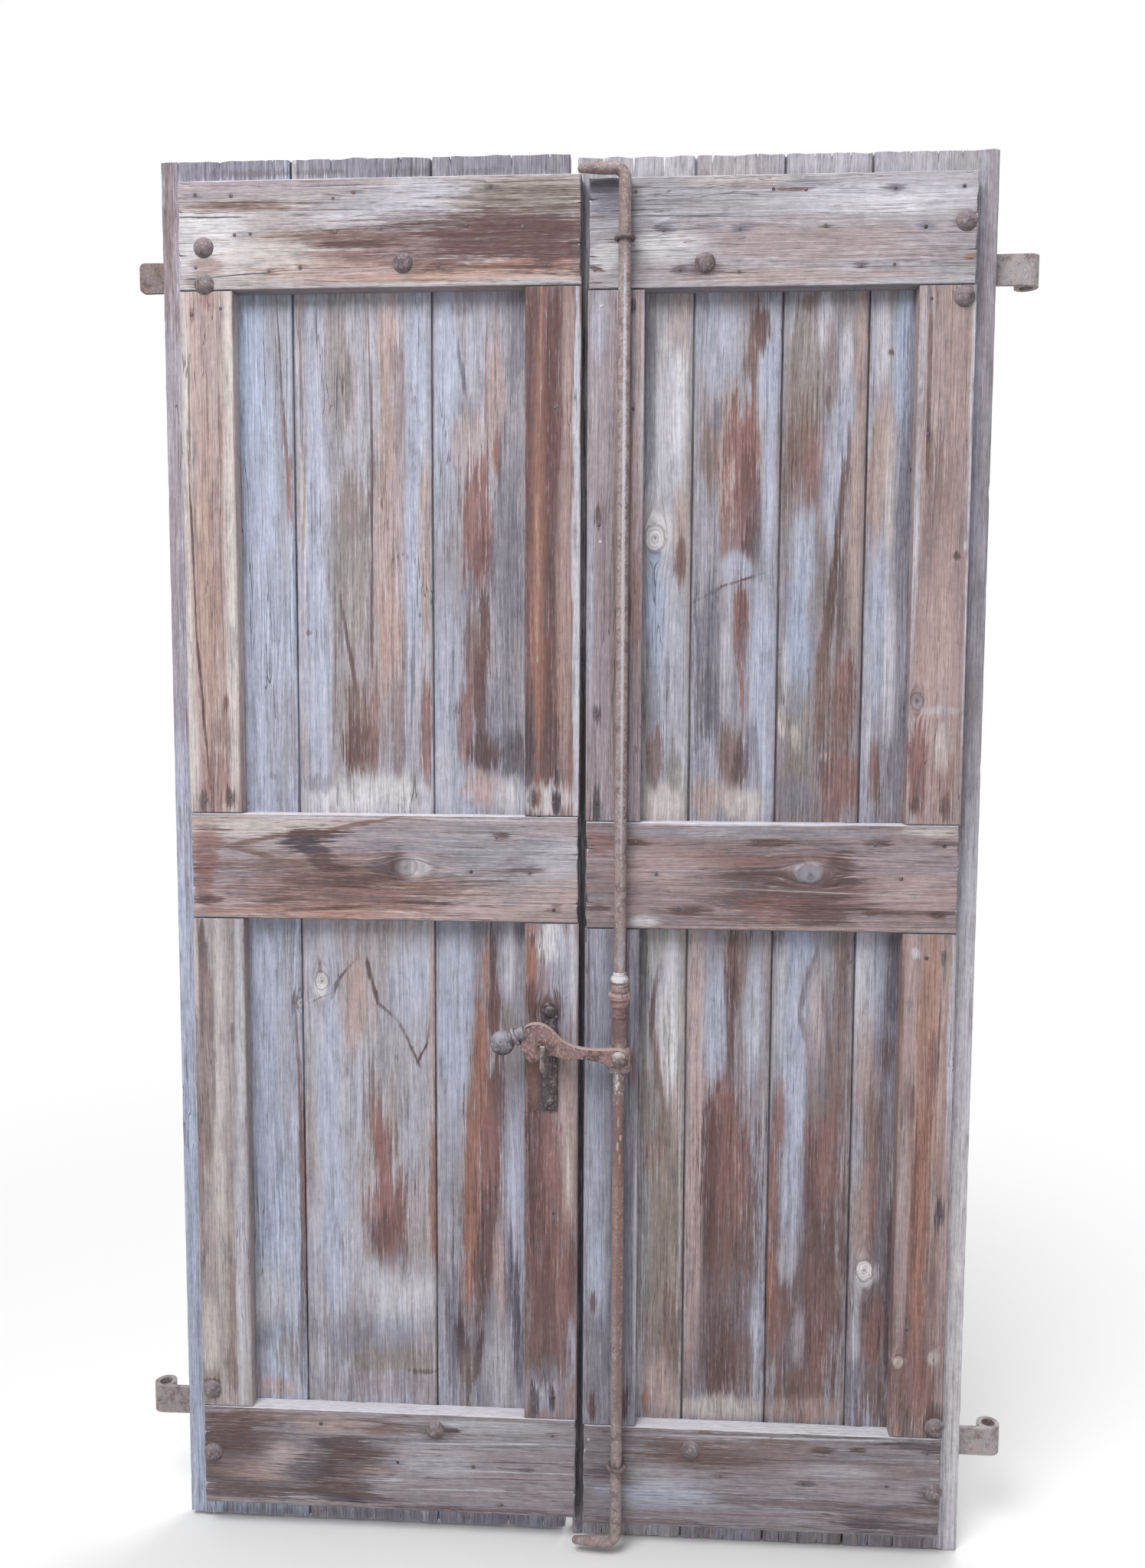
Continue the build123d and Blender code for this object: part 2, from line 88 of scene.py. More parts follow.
class Tree:
    """A short way to write node trees: a value may be a number or a socket."""

    def __init__(self, tree):
        self.tree = tree

    def plug(self, socket, value):
        if isinstance(value, bpy.types.NodeSocket):
            self.tree.links.new(value, socket)
        else:
            socket.default_value = value

    def node(self, kind, *values, **settings):
        made = self.tree.nodes.new(kind)
        for name, value in settings.items():
            setattr(made, name, value)
        for socket, value in zip(made.inputs, values):
            self.plug(socket, value)
        return made

    def fill(self, node, given):
        """Give a node's inputs their values, by name or number."""
        for name, value in given.items():
            self.plug(node.inputs[name], value)
        return node

    def math(self, operation, *values, clamp=False):
        return self.node("ShaderNodeMath", *values, operation=operation, use_clamp=clamp).outputs[0]

    def vector(self, operation, *values):
        return self.node("ShaderNodeVectorMath", *values, operation=operation).outputs[0]

    def combine(self, *values):
        return self.node("ShaderNodeCombineXYZ", *values).outputs[0]

    def separate(self, vector):
        return self.node("ShaderNodeSeparateXYZ", vector).outputs

    def smooth(self, value, start, end, low=0.0, high=1.0):
        """From low to high as the value runs from start to end."""
        return self.node("ShaderNodeMapRange", value, start, end, low, high,
                         interpolation_type="SMOOTHSTEP").outputs[0]

    def mix(self, factor, first, second):
        made = self.node("ShaderNodeMix", data_type="RGBA")
        return self.fill(made, {0: factor, 6: first, 7: second}).outputs[2]

    def veil(self, under, tone, value, start, end, most=1.0):
        """Lay a tone over a colour, more of it as the value runs from start to end."""
        return self.mix(self.smooth(value, start, end, 0.0, most), under, colour(tone))

    def add_up(self, total, *shares):
        """A number plus each value times its share."""
        for value, share in shares:
            total = self.math("MULTIPLY_ADD", value, share, total)
        return total

    def noise(self, place, offset, size, detail=3.0, roughness=0.55):
        """Noise from about -1 to 1, with its features `size` mm large."""
        scaled = self.vector("MULTIPLY_ADD", place, tuple(1.0 / s for s in size), offset)
        made = self.node("ShaderNodeTexNoise")
        self.fill(made, {"Vector": scaled, "Scale": 1.0, "Detail": detail, "Roughness": roughness})
        return self.math("MULTIPLY_ADD", made.outputs[0], 4.0, -2.0)

    def grounds(self, unit=MM):
        """Places on the object, in mm unless told otherwise, and its normal."""
        given = self.node("ShaderNodeTexCoord")
        place = self.vector("SCALE", given.outputs["Object"])
        self.fill(place.node, {"Scale": 1.0 / unit})
        return place, self.separate(given.outputs["Normal"])

    def bump(self, shader, height, distance, strength):
        made = self.node("ShaderNodeBump")
        self.fill(made, {"Strength": strength, "Distance": distance * MM, "Height": height})
        self.fill(shader, {"Normal": made.outputs[0]})


def new_material(name):
    material = bpy.data.materials.new(name)
    material.use_nodes = True
    return material, Tree(material.node_tree), material.node_tree.nodes["Principled BSDF"]


def seed_offset(seed, steps, spans):
    """Where in the endless noise a piece is cut from, so no two pieces look alike."""
    return tuple(seed * step % span for step, span in zip(steps, spans))


# The form of a stain, painted highlight or painted shade, in shares of its half sizes.
STAIN_NARROWING = 0.87
STAIN_WANDER = 0.28
STAIN_FRAY = 0.5
STAIN_GRIT = 0.45
STAIN_EDGE = 0.85
STAIN_MOST = 0.93


def smear_group():
    """A soft patch of colour laid over a colour, feathered along the fibres."""
    group = bpy.data.node_groups.new("smear", "ShaderNodeTree")
    numbers = ("Across", "Along", "Wobble", "Fray", "Grit", "Centre across", "Centre along",
               "Half across", "Half along", "Lean", "Amount", "Soft")
    sockets = [("Colour", "INPUT", "Color"), ("Tone", "INPUT", "Color")]
    sockets += [(name, "INPUT", "Float") for name in numbers] + [("Colour", "OUTPUT", "Color")]
    for name, way, kind in sockets:
        group.interface.new_socket(name, in_out=way, socket_type="NodeSocket" + kind)
    t = Tree(group)
    given = t.node("NodeGroupInput").outputs
    run = t.math("SUBTRACT", given["Along"], given["Centre along"])
    side = t.math("SUBTRACT", given["Across"], given["Centre across"])
    side = t.math("SUBTRACT", side, t.math("MULTIPLY", run, given["Lean"]))
    u = t.math("DIVIDE", side, given["Half across"])
    u = t.math("MULTIPLY_ADD", given["Wobble"], STAIN_WANDER, u)
    v = t.math("MULTIPLY", t.math("DIVIDE", run, given["Half along"]), STAIN_NARROWING)
    v = t.math("MULTIPLY_ADD", given["Fray"], STAIN_FRAY, v)
    far = t.math("MULTIPLY_ADD", v, v, t.math("MULTIPLY", u, u))
    grit = t.math("MULTIPLY_ADD", far, STAIN_GRIT, STAIN_GRIT)
    far = t.math("MULTIPLY_ADD", given["Grit"], grit, far)
    inner, outer = (
        t.math("MULTIPLY_ADD", given["Soft"], reach, 1.0) for reach in (-STAIN_EDGE, STAIN_EDGE))
    mask = t.smooth(far, outer, inner, 0.0, STAIN_MOST)
    mask = t.math("MULTIPLY", mask, given["Amount"], clamp=True)
    t.node("NodeGroupOutput", t.mix(mask, given["Colour"], given["Tone"]))
    return group


SMEAR = smear_group()


def grain_order(x, z, upright):
    """Two values in the order across the grain, along the grain."""
    return (x, z) if upright else (z, x)


def lay_smear(t, under, fields, row, upright):
    """Lay one stain, painted highlight or painted shade over a colour: tone, x, z, half sizes in
    mm, amount, softness and lean.
    """
    tone, x, z, half_x, half_z, amount, soft, lean = row
    across, along = grain_order(x, z, upright)
    half_across, half_along = grain_order(half_x, half_z, upright)
    given = {"Colour": under, "Tone": colour(tone), "Amount": amount, "Soft": soft, "Lean": lean,
             "Centre across": across, "Centre along": along,
             "Half across": half_across, "Half along": half_along, **fields}
    return t.fill(t.node("ShaderNodeGroup", node_tree=SMEAR), given).outputs[0]


# Noises in wood: size in mm across and along the grain and in depth, then detail and roughness.
CLOUD = ((60.0, 330.0, 60.0), 2.0)
STREAK = ((11.0, 420.0, 14.0), 3.0)
FIBRE = ((2.4, 110.0, 3.0), 3.0)
FINE = ((0.8, 16.0, 1.0), 2.0)
MOTTLE = ((7.0, 60.0, 7.0), 3.0, 0.6)
LINE = ((3.4, 700.0, 8.0), 4.0, 0.7)
BLOT = ((9.0, 9.0, 9.0), 3.0, 0.6)
DAMP = ((13.0, 64.0, 13.0), 3.0, 0.6)
SPECK = ((1.7, 6.0, 2.0), 3.0, 0.6)
HAIR = ((5.0, 240.0, 6.0), 2.0)
HAIR_BREAK = ((6.0, 60.0, 6.0), 2.0)
CRACK = ((9.0, 260.0, 9.0), 2.0)
CRACKED_PLACES = ((45.0, 190.0, 45.0), 1.0)
PORES = ((1.6, 3.0, 3.0), 3.0)

GRAIN_BEND = 3.0
# The listed stains end inside the boards' thickness, y in mm, so the outer faces are plain.
STAINED_DEPTH = (9.0, 15.0)
# How long a knot's pull on the grain and the knot itself are, as a share of their width.
KNOT_PULL_LENGTH = 0.42
KNOT_LENGTH = 0.72
KNOT_RINGS = 21.0
# The least that fibres and grain leave of a tone's brightness.
DARKEST = 0.35


class Grain:
    """The places and noises that a piece of wood is painted with, all bent along its grain."""

    def __init__(self, t, upright, knots, seed):
        self.place, self.normal = t.grounds()
        x, self.depth, z = t.separate(self.place)
        self.across, self.along = grain_order(x, z, upright)
        self.jump = seed_offset(seed, (13.7, 7.3, 3.1), (89, 97, 83))
        self.other = tuple(part + 5.0 for part in self.jump)
        self.plain = t.combine(self.across, self.along, self.depth)
        self.cloud = t.noise(self.plain, self.jump, *CLOUD)
        bent = t.math("MULTIPLY_ADD", self.cloud, GRAIN_BEND, self.across)
        for x, z, radius, _ in knots:
            bent = bend_round_knot(t, bent, self.along, grain_order(x, z, upright), radius)
        self.bent = t.combine(bent, self.along, self.depth)
        self.streak, self.fibre, self.fine, self.mottle, self.line = (
            t.noise(self.bent, self.jump, *kind) for kind in (STREAK, FIBRE, FINE, MOTTLE, LINE))
        self.blot = t.noise(self.place, self.jump, *BLOT)

    def stain_fields(self, t):
        """What a stain's outline and grain follow."""
        fray = t.math("MULTIPLY_ADD", self.streak, 0.5, t.math("MULTIPLY", self.line, 0.7))
        grit = t.add_up(self.fibre, (self.fine, 0.55), (self.mottle, 0.6))
        return {"Across": self.across, "Along": self.along, "Wobble": self.streak,
                "Fray": fray, "Grit": grit}


def bend_round_knot(t, across, along, centre, radius):
    """Push the grain aside where it passes a knot."""
    side = t.math("SUBTRACT", across, centre[0])
    run = t.math("MULTIPLY", t.math("SUBTRACT", along, centre[1]), KNOT_PULL_LENGTH)
    far = t.math("MULTIPLY_ADD", side, side, t.math("MULTIPLY", run, run))
    far = t.math("MAXIMUM", far, radius * radius)
    share = t.math("SUBTRACT", 1.0, t.math("DIVIDE", radius * radius, far))
    return t.math("MULTIPLY_ADD", side, share, centre[0])


def lay_knot(t, under, grain, centre, radius, pale):
    """Growth rings, a dark rim and a split heart."""
    side = t.math("SUBTRACT", grain.across, centre[0])
    run = t.math("MULTIPLY", t.math("SUBTRACT", grain.along, centre[1]), KNOT_LENGTH)
    far = t.math("SQRT", t.math("MULTIPLY_ADD", side, side, t.math("MULTIPLY", run, run)))
    far = t.math("MULTIPLY_ADD", grain.blot, 0.16, t.math("DIVIDE", far, radius))
    rings = t.math("SINE", t.math("MULTIPLY", far, KNOT_RINGS))
    inside = t.veil(colour(pale), "olive", rings, -0.6, 0.9, 0.5)
    inside = t.veil(inside, "umber", far, 0.42, 0.05, 0.75)
    tone = t.mix(t.smooth(far, 1.15, 0.75, 0.0, 0.8), under, inside)
    from_rim = t.math("ABSOLUTE", t.math("SUBTRACT", far, 1.02))
    return t.veil(tone, "umber", from_rim, 0.26, 0.02, 0.45)


def bare_wood(t, grain, base, second):
    """Two base tones in clouds, with paler and duller streaks."""
    share = t.smooth(t.math("MULTIPLY_ADD", grain.streak, 0.6, grain.cloud), -0.7, 0.7)
    tone = t.mix(share, colour(base), colour(second))
    tone = t.veil(tone, "pale", grain.streak, 0.0, 1.1, 0.35)
    return t.veil(tone, "olive", grain.line, -0.1, -1.1, 0.35)


def weather(t, grain, tone):
    """Damp patches, light and dark fibres, bleached ridges and specks."""
    damp = t.noise(grain.bent, grain.other, *DAMP)
    tone = t.veil(tone, "slate", damp, 0.15, 1.0, 0.4)
    light = t.add_up(0.99, (grain.fine, 0.22), (damp, -0.09), (grain.fibre, 0.20),
                     (grain.line, 0.18), (grain.mottle, 0.13), (grain.blot, 0.11))
    shaded = t.node("ShaderNodeHueSaturation")
    t.fill(shaded, {"Value": t.math("MAXIMUM", light, DARKEST), "Color": tone})
    ridges = t.math("ADD", grain.fine, grain.fibre)
    tone = t.veil(shaded.outputs[0], "white", ridges, 0.6, 1.7, 0.45)
    return t.veil(tone, "umber", t.noise(grain.bent, grain.jump, *SPECK), 0.75, 1.25, 0.5)


def end_grain_and_painted_light(t, grain, tone, upright):
    """Porous grey ends. A rail's upward faces get a painted top light, near white, and its
    downward faces painted shade.
    """
    end = t.smooth(t.math("ABSOLUTE", grain.normal[2 if upright else 0]), 0.6, 0.9)
    pores = t.noise(grain.place, grain.jump, *PORES)
    tone = t.mix(end, tone, t.mix(t.smooth(pores, -0.8, 0.8), colour("slate"), colour("grey")))
    if upright:
        return tone
    up = grain.normal[2]
    # Painted top light: a rail's upward faces turn near white, as if lit from above.
    painted_top_light = t.mix(t.smooth(grain.fine, -1.0, 0.3), colour("pale"), colour("painted_top_light"))
    tone = t.mix(t.smooth(up, 0.35, 0.8, 0.0, 0.95), tone, painted_top_light)
    # Painted shade on a rail's downward faces.
    return t.veil(tone, "dark", up, -0.3, -0.8, 0.6)


def weathered_wood(name, upright, base, second, smears, knots, seed, lines):
    """Old bare softwood: bleached fibres, long stains, fine dark lines and drying cracks."""
    material, t, shader = new_material(name)
    grain = Grain(t, upright, knots, seed)
    tone = bare_wood(t, grain, base, second)
    patchy = t.math("MULTIPLY_ADD", grain.mottle, 0.5, grain.streak)
    outer = t.veil(tone, "brown", patchy, 0.2, 1.2, 0.6)
    fields = grain.stain_fields(t)
    for row in smears:
        tone = lay_smear(t, tone, fields, row, upright)
    for x, z, radius, pale in knots:
        tone = lay_knot(t, tone, grain, grain_order(x, z, upright), radius, pale)
    tone = t.mix(t.smooth(grain.depth, *STAINED_DEPTH), tone, outer)
    tone = weather(t, grain, tone)

    hair = t.smooth(t.math("ABSOLUTE", t.noise(grain.bent, grain.other, *HAIR)), 0.10, 0.0)
    broken = t.smooth(t.noise(grain.bent, grain.jump[::-1], *HAIR_BREAK), -0.2, 0.5)
    tone = t.mix(t.math("MULTIPLY", t.math("MULTIPLY", hair, broken), lines), tone, colour("umber"))
    crack = t.smooth(t.math("ABSOLUTE", t.noise(grain.bent, grain.jump[::-1], *CRACK)), 0.035, 0.0)
    cracked = t.smooth(t.noise(grain.plain, grain.other, *CRACKED_PLACES), 0.2, 0.7)
    crack = t.math("MULTIPLY", crack, cracked)
    tone = t.mix(t.math("MULTIPLY", crack, 0.8), tone, colour("dark"))
    roughness = t.math("MULTIPLY_ADD", grain.fibre, -0.05, 0.86)
    t.fill(shader, {"Base Color": end_grain_and_painted_light(t, grain, tone, upright), "Roughness": roughness,
                    "Specular IOR Level": 0.25})
    height = t.add_up(t.math("MULTIPLY", grain.fine, 0.4), (grain.fibre, 0.5), (grain.line, 0.4),
                      (hair, -0.5), (crack, -1.8))
    t.bump(shader, height, 0.6, 0.9)
    return material


# Noises in iron, as for wood.
RUST_PATCH = ((14.0, 14.0, 14.0), 3.0)
SCALE = ((3.6, 3.6, 4.6), 3.0, 0.6)
PIT = ((1.2, 1.2, 1.2), 2.0)
FLAKE = ((8.0, 8.0, 8.0), 3.0, 0.6)


def rusty_iron(name, base, dark, pale, seed, rub=0.5, metal=0.1, smears=(), rust=0.3, top_highlight=0.0):
    """Old iron: rust in patches, pits, and paler places where it is rubbed; a painted highlight on
    upward faces and painted shade on downward faces.
    """
    material, t, shader = new_material(name)
    place, normal = t.grounds()
    x, _, z = t.separate(place)
    jump = seed_offset(seed, (5.3, 11.9, 2.7), (71, 67, 59))
    patch, scale, pit = (t.noise(place, jump, *kind) for kind in (RUST_PATCH, SCALE, PIT))
    flake = t.noise(place, jump[::-1], *FLAKE)
    tone = t.mix(t.smooth(patch, -0.3, 0.7), colour(base), colour(dark))
    tone = t.veil(tone, pale, scale, 0.0, 0.8, rub)
    tone = t.veil(tone, dark, scale, -0.2, -0.9, 0.5)
    tone = t.veil(tone, "orange", flake, 0.1, 0.8, rust)
    # Painted highlight on upward faces, then painted shade on downward faces.
    tone = t.veil(tone, pale, normal[2], 0.2, 0.8, top_highlight)
    tone = t.veil(tone, dark, normal[2], -0.1, -0.8, 0.5)
    fields = {"Across": x, "Along": z, "Wobble": scale, "Fray": scale, "Grit": scale}
    for row in smears:
        tone = lay_smear(t, tone, fields, row, True)
    roughness = t.math("MULTIPLY_ADD", scale, 0.10, 0.62)
    t.fill(shader, {"Base Color": t.veil(tone, "umber", pit, 0.35, 1.2, 0.6),
                    "Roughness": roughness, "Metallic": metal})
    t.bump(shader, t.math("MULTIPLY_ADD", pit, -0.5, t.math("MULTIPLY", scale, 0.7)), 0.7, 0.7)
    return material


# The photograph's size, and the crops of it on which the stains were placed: where each
# begins in the photograph, in pixels, and how much it is enlarged.
PHOTO = (1495, 2048)
CROPS = {
    "0": (180, 180, 2.5290),
    "1": (700, 180, 2.3403),
    "2": (180, 560, 2.5290),
    "3": (700, 560, 2.3403),
    "4": (190, 1040, 2.5705),
    "5": (700, 1040, 2.4889),
    "6": (190, 1480, 2.5705),
    "7": (700, 1480, 2.45),
}

# Each node's stains, in the order in which they are laid; a few rows are painted highlights and
# painted shade instead, as noted above their nodes. A word with a colon names the crop whose pixels
# the rows after it are in, or says that they are in mm, as x and z. A patch gives its tone, its
# middle and its half sizes. A stroke gives its tone, its two ends with > between them, and its
# width. An amount may follow, and then a softness.
STAINS_AND_PAINTED_LIGHT = {
    "left_top_rail": """
    0: lavender 835 316 240 164 .32 1, brown 1000 340 460 90 .45, red 900 360 400 60 .4,
    deep 1230 330 250 100 .8, brown 700 345 200 44 .5, umber 205 470 34 24 .5, umber 210 382 34 20 .4,
    mauve 380 165 260 34 .5, white 230 330 110 110, cream 420 400 170 70 .6, pale 960 175 130 60 .5,
    olive 1290 190 190 55, brown 330 224 160 17 .85, umber 300 226 60 8 .5, olive 560 320 90 30 .5,
    brown 690 335 150 34 .8, umber 700 352 110 12 .8, orange 820 440 330 34 .45,
    deep 1260 300 200 40 .85, deep 1250 372 230 26 .9, umber 1180 345 120 12 .8,
    umber 1300 262 150 10 .8, rust 1280 418 170 22 .8, orange 1100 455 340 18 .55,
    umber 1345 405 40 18, red 620 385 120 10 .6, dark 190 465 > 540 432 2.2 .9,
    dark 540 432 > 760 428 1.6, dark 130 262 > 320 262 1.8 .8, dark 130 213 > 600 214 1.6,
    dark 480 238 > 720 236 1.6, dark 830 292 > 1060 300 2, red 228 418 40 30 .5,
    olive 1455 330 14 140 .6, dark 400 165 > 980 150 1.4 .6, umber 1320 300 190 110 .32 1,
    deep 1330 330 190 90 .35 1, umber 1190 320 330 110 .35 1""",
    "right_top_rail": """
    1: grey 500 150 330 44 .4, mauve 600 330 420 80 .35, umber 515 398 34 22 .5,
    umber 1312 255 34 18 .45, slate 260 300 110 120 .3, brown 740 300 260 40 .3,
    slate 210 170 55 60 .75, dark 215 150 45 26 .5, grey 390 150 120 40 .6, dark 300 150 > 560 152 2,
    dark 300 238 > 700 240 2 .6, cream 600 130 140 24 .5, pale 1060 180 260 60 .8,
    white 1130 200 160 30 .6, mauve 840 310 300 60 .55, tan 800 420 330 22 .6, tan 820 330 330 56 .4,
    white 400 330 120 44 .6, white 210 360 46 40 .6, umber 165 395 > 215 410 5 .8,
    slate 395 280 26 18, umber 722 158 > 830 157 6 .9, slate 1100 152 26 14, slate 623 278 26 14,
    slate 1190 272 26 16 .6, umber 442 402 20 12 .8, dark 450 404 > 640 412 2, slate 990 388 24 12 .6,
    rust 1330 362 20 10, umber 520 400 50 20 .5, dark 820 392 > 1290 392 1.6 .6,
    dark 300 125 > 520 122 1.6 .6, brown 670 148 90 10 .4""",
    "left_board_1": """
    0: mauve 60 600 34 800 .8 .5, slate 60 600 34 800 .3 .5, 2: mauve 110 200 34 1100 .8 .5,
    4: lavender 130 600 34 700 .5 .5, 6: blue 150 600 30 700 .4 .5, 0: grey 200 95 300 50 1,
    slate 240 100 300 50 .45, umber 400 118 150 10 .5, blue 372 820 48 380 .8, grey 455 700 36 240 .6,
    2: blue 395 330 52 420 .85, lavender 400 820 60 320, slate 445 500 30 120 .45,
    slate 455 640 26 60 .5, grey 480 330 26 330 .6, grey 470 1010 50 190 .6,
    0: umber 462 600 > 484 960 4 .8, brown 478 900 > 496 1113 9 .6, 2: red 496 60 > 504 330 9 .85,
    brown 515 1010 10 220 .6, dark 446 1146 14 9 .8, olive 412 150 12 160 .3,
    4: slate 440 470 90 70 .45, lavender 400 720 60 260, blue 385 980 44 260, grey 475 850 36 330 .5,
    brown 508 760 > 524 1180 8 .85, umber 498 690 12 34 .5, dark 466 500 4 60 .4,
    6: blue 400 200 44 260 .6, brown 528 230 10 300 .8, umber 530 640 14 160 .5,
    slate 440 660 70 70 .4, olive 480 740 40 70 .45, pink 440 850 84 26, slate 400 1290 220 30 .6,
    mm: mauve -536 1590 15 420 .75 1, 2: lavender 420 700 90 640 .55 1,
    4: lavender 400 760 80 520 .5 1, 0: slate 300 96 220 60 .45 1, brown 106 330 26 260 .45 1,
    6: white 410 545 60 80 .45 1""",
    "left_board_2": """
    6: brown 800 560 180 300 .22, 2: brown 780 900 160 300 .2, 0: grey 760 92 260 46 1,
    slate 760 92 260 46 .4, umber 600 114 90 9 .5, umber 900 112 90 12 .4, lavender 590 800 36 330,
    olive 650 820 60 220 .35, umber 532 640 > 548 1113 6 .55, umber 762 640 > 776 1100 6 .6,
    brown 700 820 26 110 .3, tan 830 700 36 160 .8, brown 860 880 22 200 .45, lavender 925 800 30 330,
    2: cream 552 300 14 220 .5, brown 556 0 > 546 420 6 .6, lavender 595 560 44 560 .85,
    grey 680 300 60 260 .6, olive 700 420 60 240 .45, brown 712 260 40 90 .3,
    umber 770 0 > 772 900 6 .8, pink 830 420 44 430 .8, orange 835 660 40 160 .35,
    tan 820 60 30 120 .6, umber 668 560 > 728 900 8 .75, brown 655 600 > 650 1000 6 .5,
    brown 728 1010 46 150 .85, umber 720 1040 34 80 .6, red 780 980 16 160 .6,
    brown 855 980 24 190 .5, lavender 905 480 22 500 .9, slate 905 1000 > 912 700 7 .6,
    tan 950 330 18 260 .8, red 955 980 18 180 .75, white 790 1215 220 60, slate 610 1170 60 26 .45,
    umber 565 674 12 8 .6, 4: white 590 640 26 36 .9, umber 588 575 7 30 .6,
    umber 560 690 > 616 664 6 .6, umber 618 690 > 648 612 9 .8, umber 646 618 > 704 548 8 .8,
    umber 742 545 > 760 620 9 .85, umber 758 610 > 784 700 8 .85, umber 782 695 > 846 752 9 .8,
    umber 842 745 > 884 826 8 .85, umber 882 820 > 914 892 6 .85, umber 914 892 > 944 830 5 .8,
    umber 942 840 > 962 720 4 .6, tan 704 700 44 140 .8, grey 830 900 60 160 .5,
    lavender 880 620 60 120, tan 962 700 12 300, lavender 610 960 40 260 .8, brown 775 1060 26 130 .6,
    red 775 1120 18 90 .8, olive 830 1060 20 130 .5, 6: lavender 640 300 60 330 .8,
    pale 700 420 40 160 .5, red 800 70 30 120 .8, red 812 270 66 130 .95 .5, deep 800 330 44 60 .6,
    red 845 430 34 60 .8, brown 870 500 60 60 .4, rust 968 260 18 290 .75, pale 760 480 50 50 .6,
    slate 740 690 180 80 .5, umber 740 640 30 50 .4, olive 830 760 160 40 .5,
    mauve 780 845 210 34 .55, ink 850 806 > 985 814 5 .95 .5, umber 940 800 50 7 .6,
    slate 780 1290 220 30 .6, 0: slate 736 96 240 60 .45 1, 6: lavender 860 560 130 110 .5 1,
    white 870 540 100 70 .5 1""",
    # The ink rows in mm at x 19.5 are painted shade in the gap between the two leaves.
    "left_board_3": """
    0: pale 1130 948 133 380 .26 1, 6: umber 1140 560 100 330 .35, 2: brown 1120 900 80 280 .3,
    0: grey 1160 85 240 46 1, slate 1160 85 240 46 .3, umber 1140 108 70 8 .4,
    lavender 1015 800 40 330 .8, slate 1052 660 > 1085 870 7 .8, slate 1062 570 30 22 .6,
    tan 1180 860 30 200, red 1148 800 5 160 .6, slate 1250 640 30 160 .5,
    rust 1180 1010 > 1186 1113 10 .8, 2: lavender 1030 820 40 260 .6, tan 1090 60 60 90 .5,
    rust 1186 90 12 70 .9, red 1150 90 > 1100 260 26, red 1120 330 52 180 .95 .6,
    deep 1140 420 30 60 .5, slate 1100 545 20 40 .4, deep 1142 700 22 150 .8,
    brown 1112 800 34 170 .75, red 1080 980 24 130, umber 1130 880 24 120 .6, slate 1225 420 46 330,
    umber 1146 1070 54 60 .85, dark 1230 1080 50 80 .6, slate 1200 940 40 90 .5,
    pink 1130 1190 60 50 .8, white 1230 1220 50 50 .6, pale 1010 1160 24 110 .6,
    4: slate 1120 460 150 50 .6, lavender 1040 760 50 360 .8, rust 1145 560 14 110,
    umber 1165 560 12 120 .8, pale 1215 580 22 120, deep 1170 720 22 80 .8, rust 1128 830 24 120 .8,
    rust 1120 1060 36 160 .9, deep 1172 1060 32 150 .8, olive 1210 760 24 60 .6,
    6: rust 1100 260 34 330 .9 .6, red 1150 120 40 200 .9, rust 1085 490 22 130 .8,
    deep 1150 360 34 130 .8, umber 1120 520 20 110 .6, pink 1190 480 24 130 .85,
    lavender 1240 130 26 200 .8, slate 1218 350 > 1250 780 20 .85, dark 1240 600 12 150 .6,
    slate 1030 620 22 150 .6, dark 1050 640 > 1084 860 30 .85, dark 1140 650 > 1090 862 16 .85,
    olive 1075 800 30 60 .5, pale 1180 800 44 150 .85, slate 1040 800 18 80 .5,
    slate 1200 1310 200 30 .6, umber 1120 760 110 260 .25 1, 0: slate 1190 96 230 60 .45 1,
    mm: ink 19.5 480 5.5 900 .6 .5, ink 19.5 1500 5.5 800 .12 .5""",
    "left_upper_outer_stile": """
    0: cream 160 820 14 330 .8, cream 302 800 18 330 .9, red 222 535 26 34 .5,
    brown 166 700 > 172 1100 3, brown 272 880 > 276 1113 7 .5, 2: cream 160 500 14 600 .8,
    cream 312 620 22 640 .9, orange 230 560 34 420 .35, umber 166 120 > 196 700 4 .8,
    umber 196 700 > 240 1180 5 .85, brown 240 0 > 250 500 3 .5, brown 268 240 > 282 700 3 .5,
    umber 293 900 12 30 .8, brown 292 970 18 90 .5, brown 262 1000 14 40 .5, red 262 1160 40 90 .5,
    umber 216 1228 14 30, umber 302 1218 20 26 .8, cream 190 1080 16 130 .6""",
    "left_upper_meeting_stile": """
    0: deep 1350 780 90 340 .5, 2: deep 1340 300 80 400 .45, umber 1340 900 70 330 .4,
    0: dark 1352 530 > 1348 1110 5, umber 1392 540 > 1400 1110 6, 2: dark 1362 0 > 1372 640 5 .6,
    0: deep 1378 640 34 130 .85, deep 1370 980 44 170 .85, umber 1310 560 14 60,
    orange 1330 520 > 1326 1100 5 .6, tan 1420 800 20 330 .6, pale 1450 820 12 320 .8,
    2: deep 1345 160 32 260, umber 1308 310 18 80, umber 1345 420 20 120 .6,
    orange 1300 560 > 1304 830 6 .9, deep 1345 800 30 200 .75, tan 1408 620 26 500 .6,
    orange 1395 800 10 200 .5, pale 1450 560 14 700 .85, umber 1330 1030 60 120 .85,
    dark 1305 1080 30 120 .6, white 1350 1225 80 50 .6, ink 1314 1222 12 26 .8,
    ink 1382 1230 14 34 .85, ink 1383 1150 8 30 .6, pale 1436 420 6 160 .6,
    rust 1322 560 24 640 .6 .9, orange 1318 420 9 360 .4 1""",
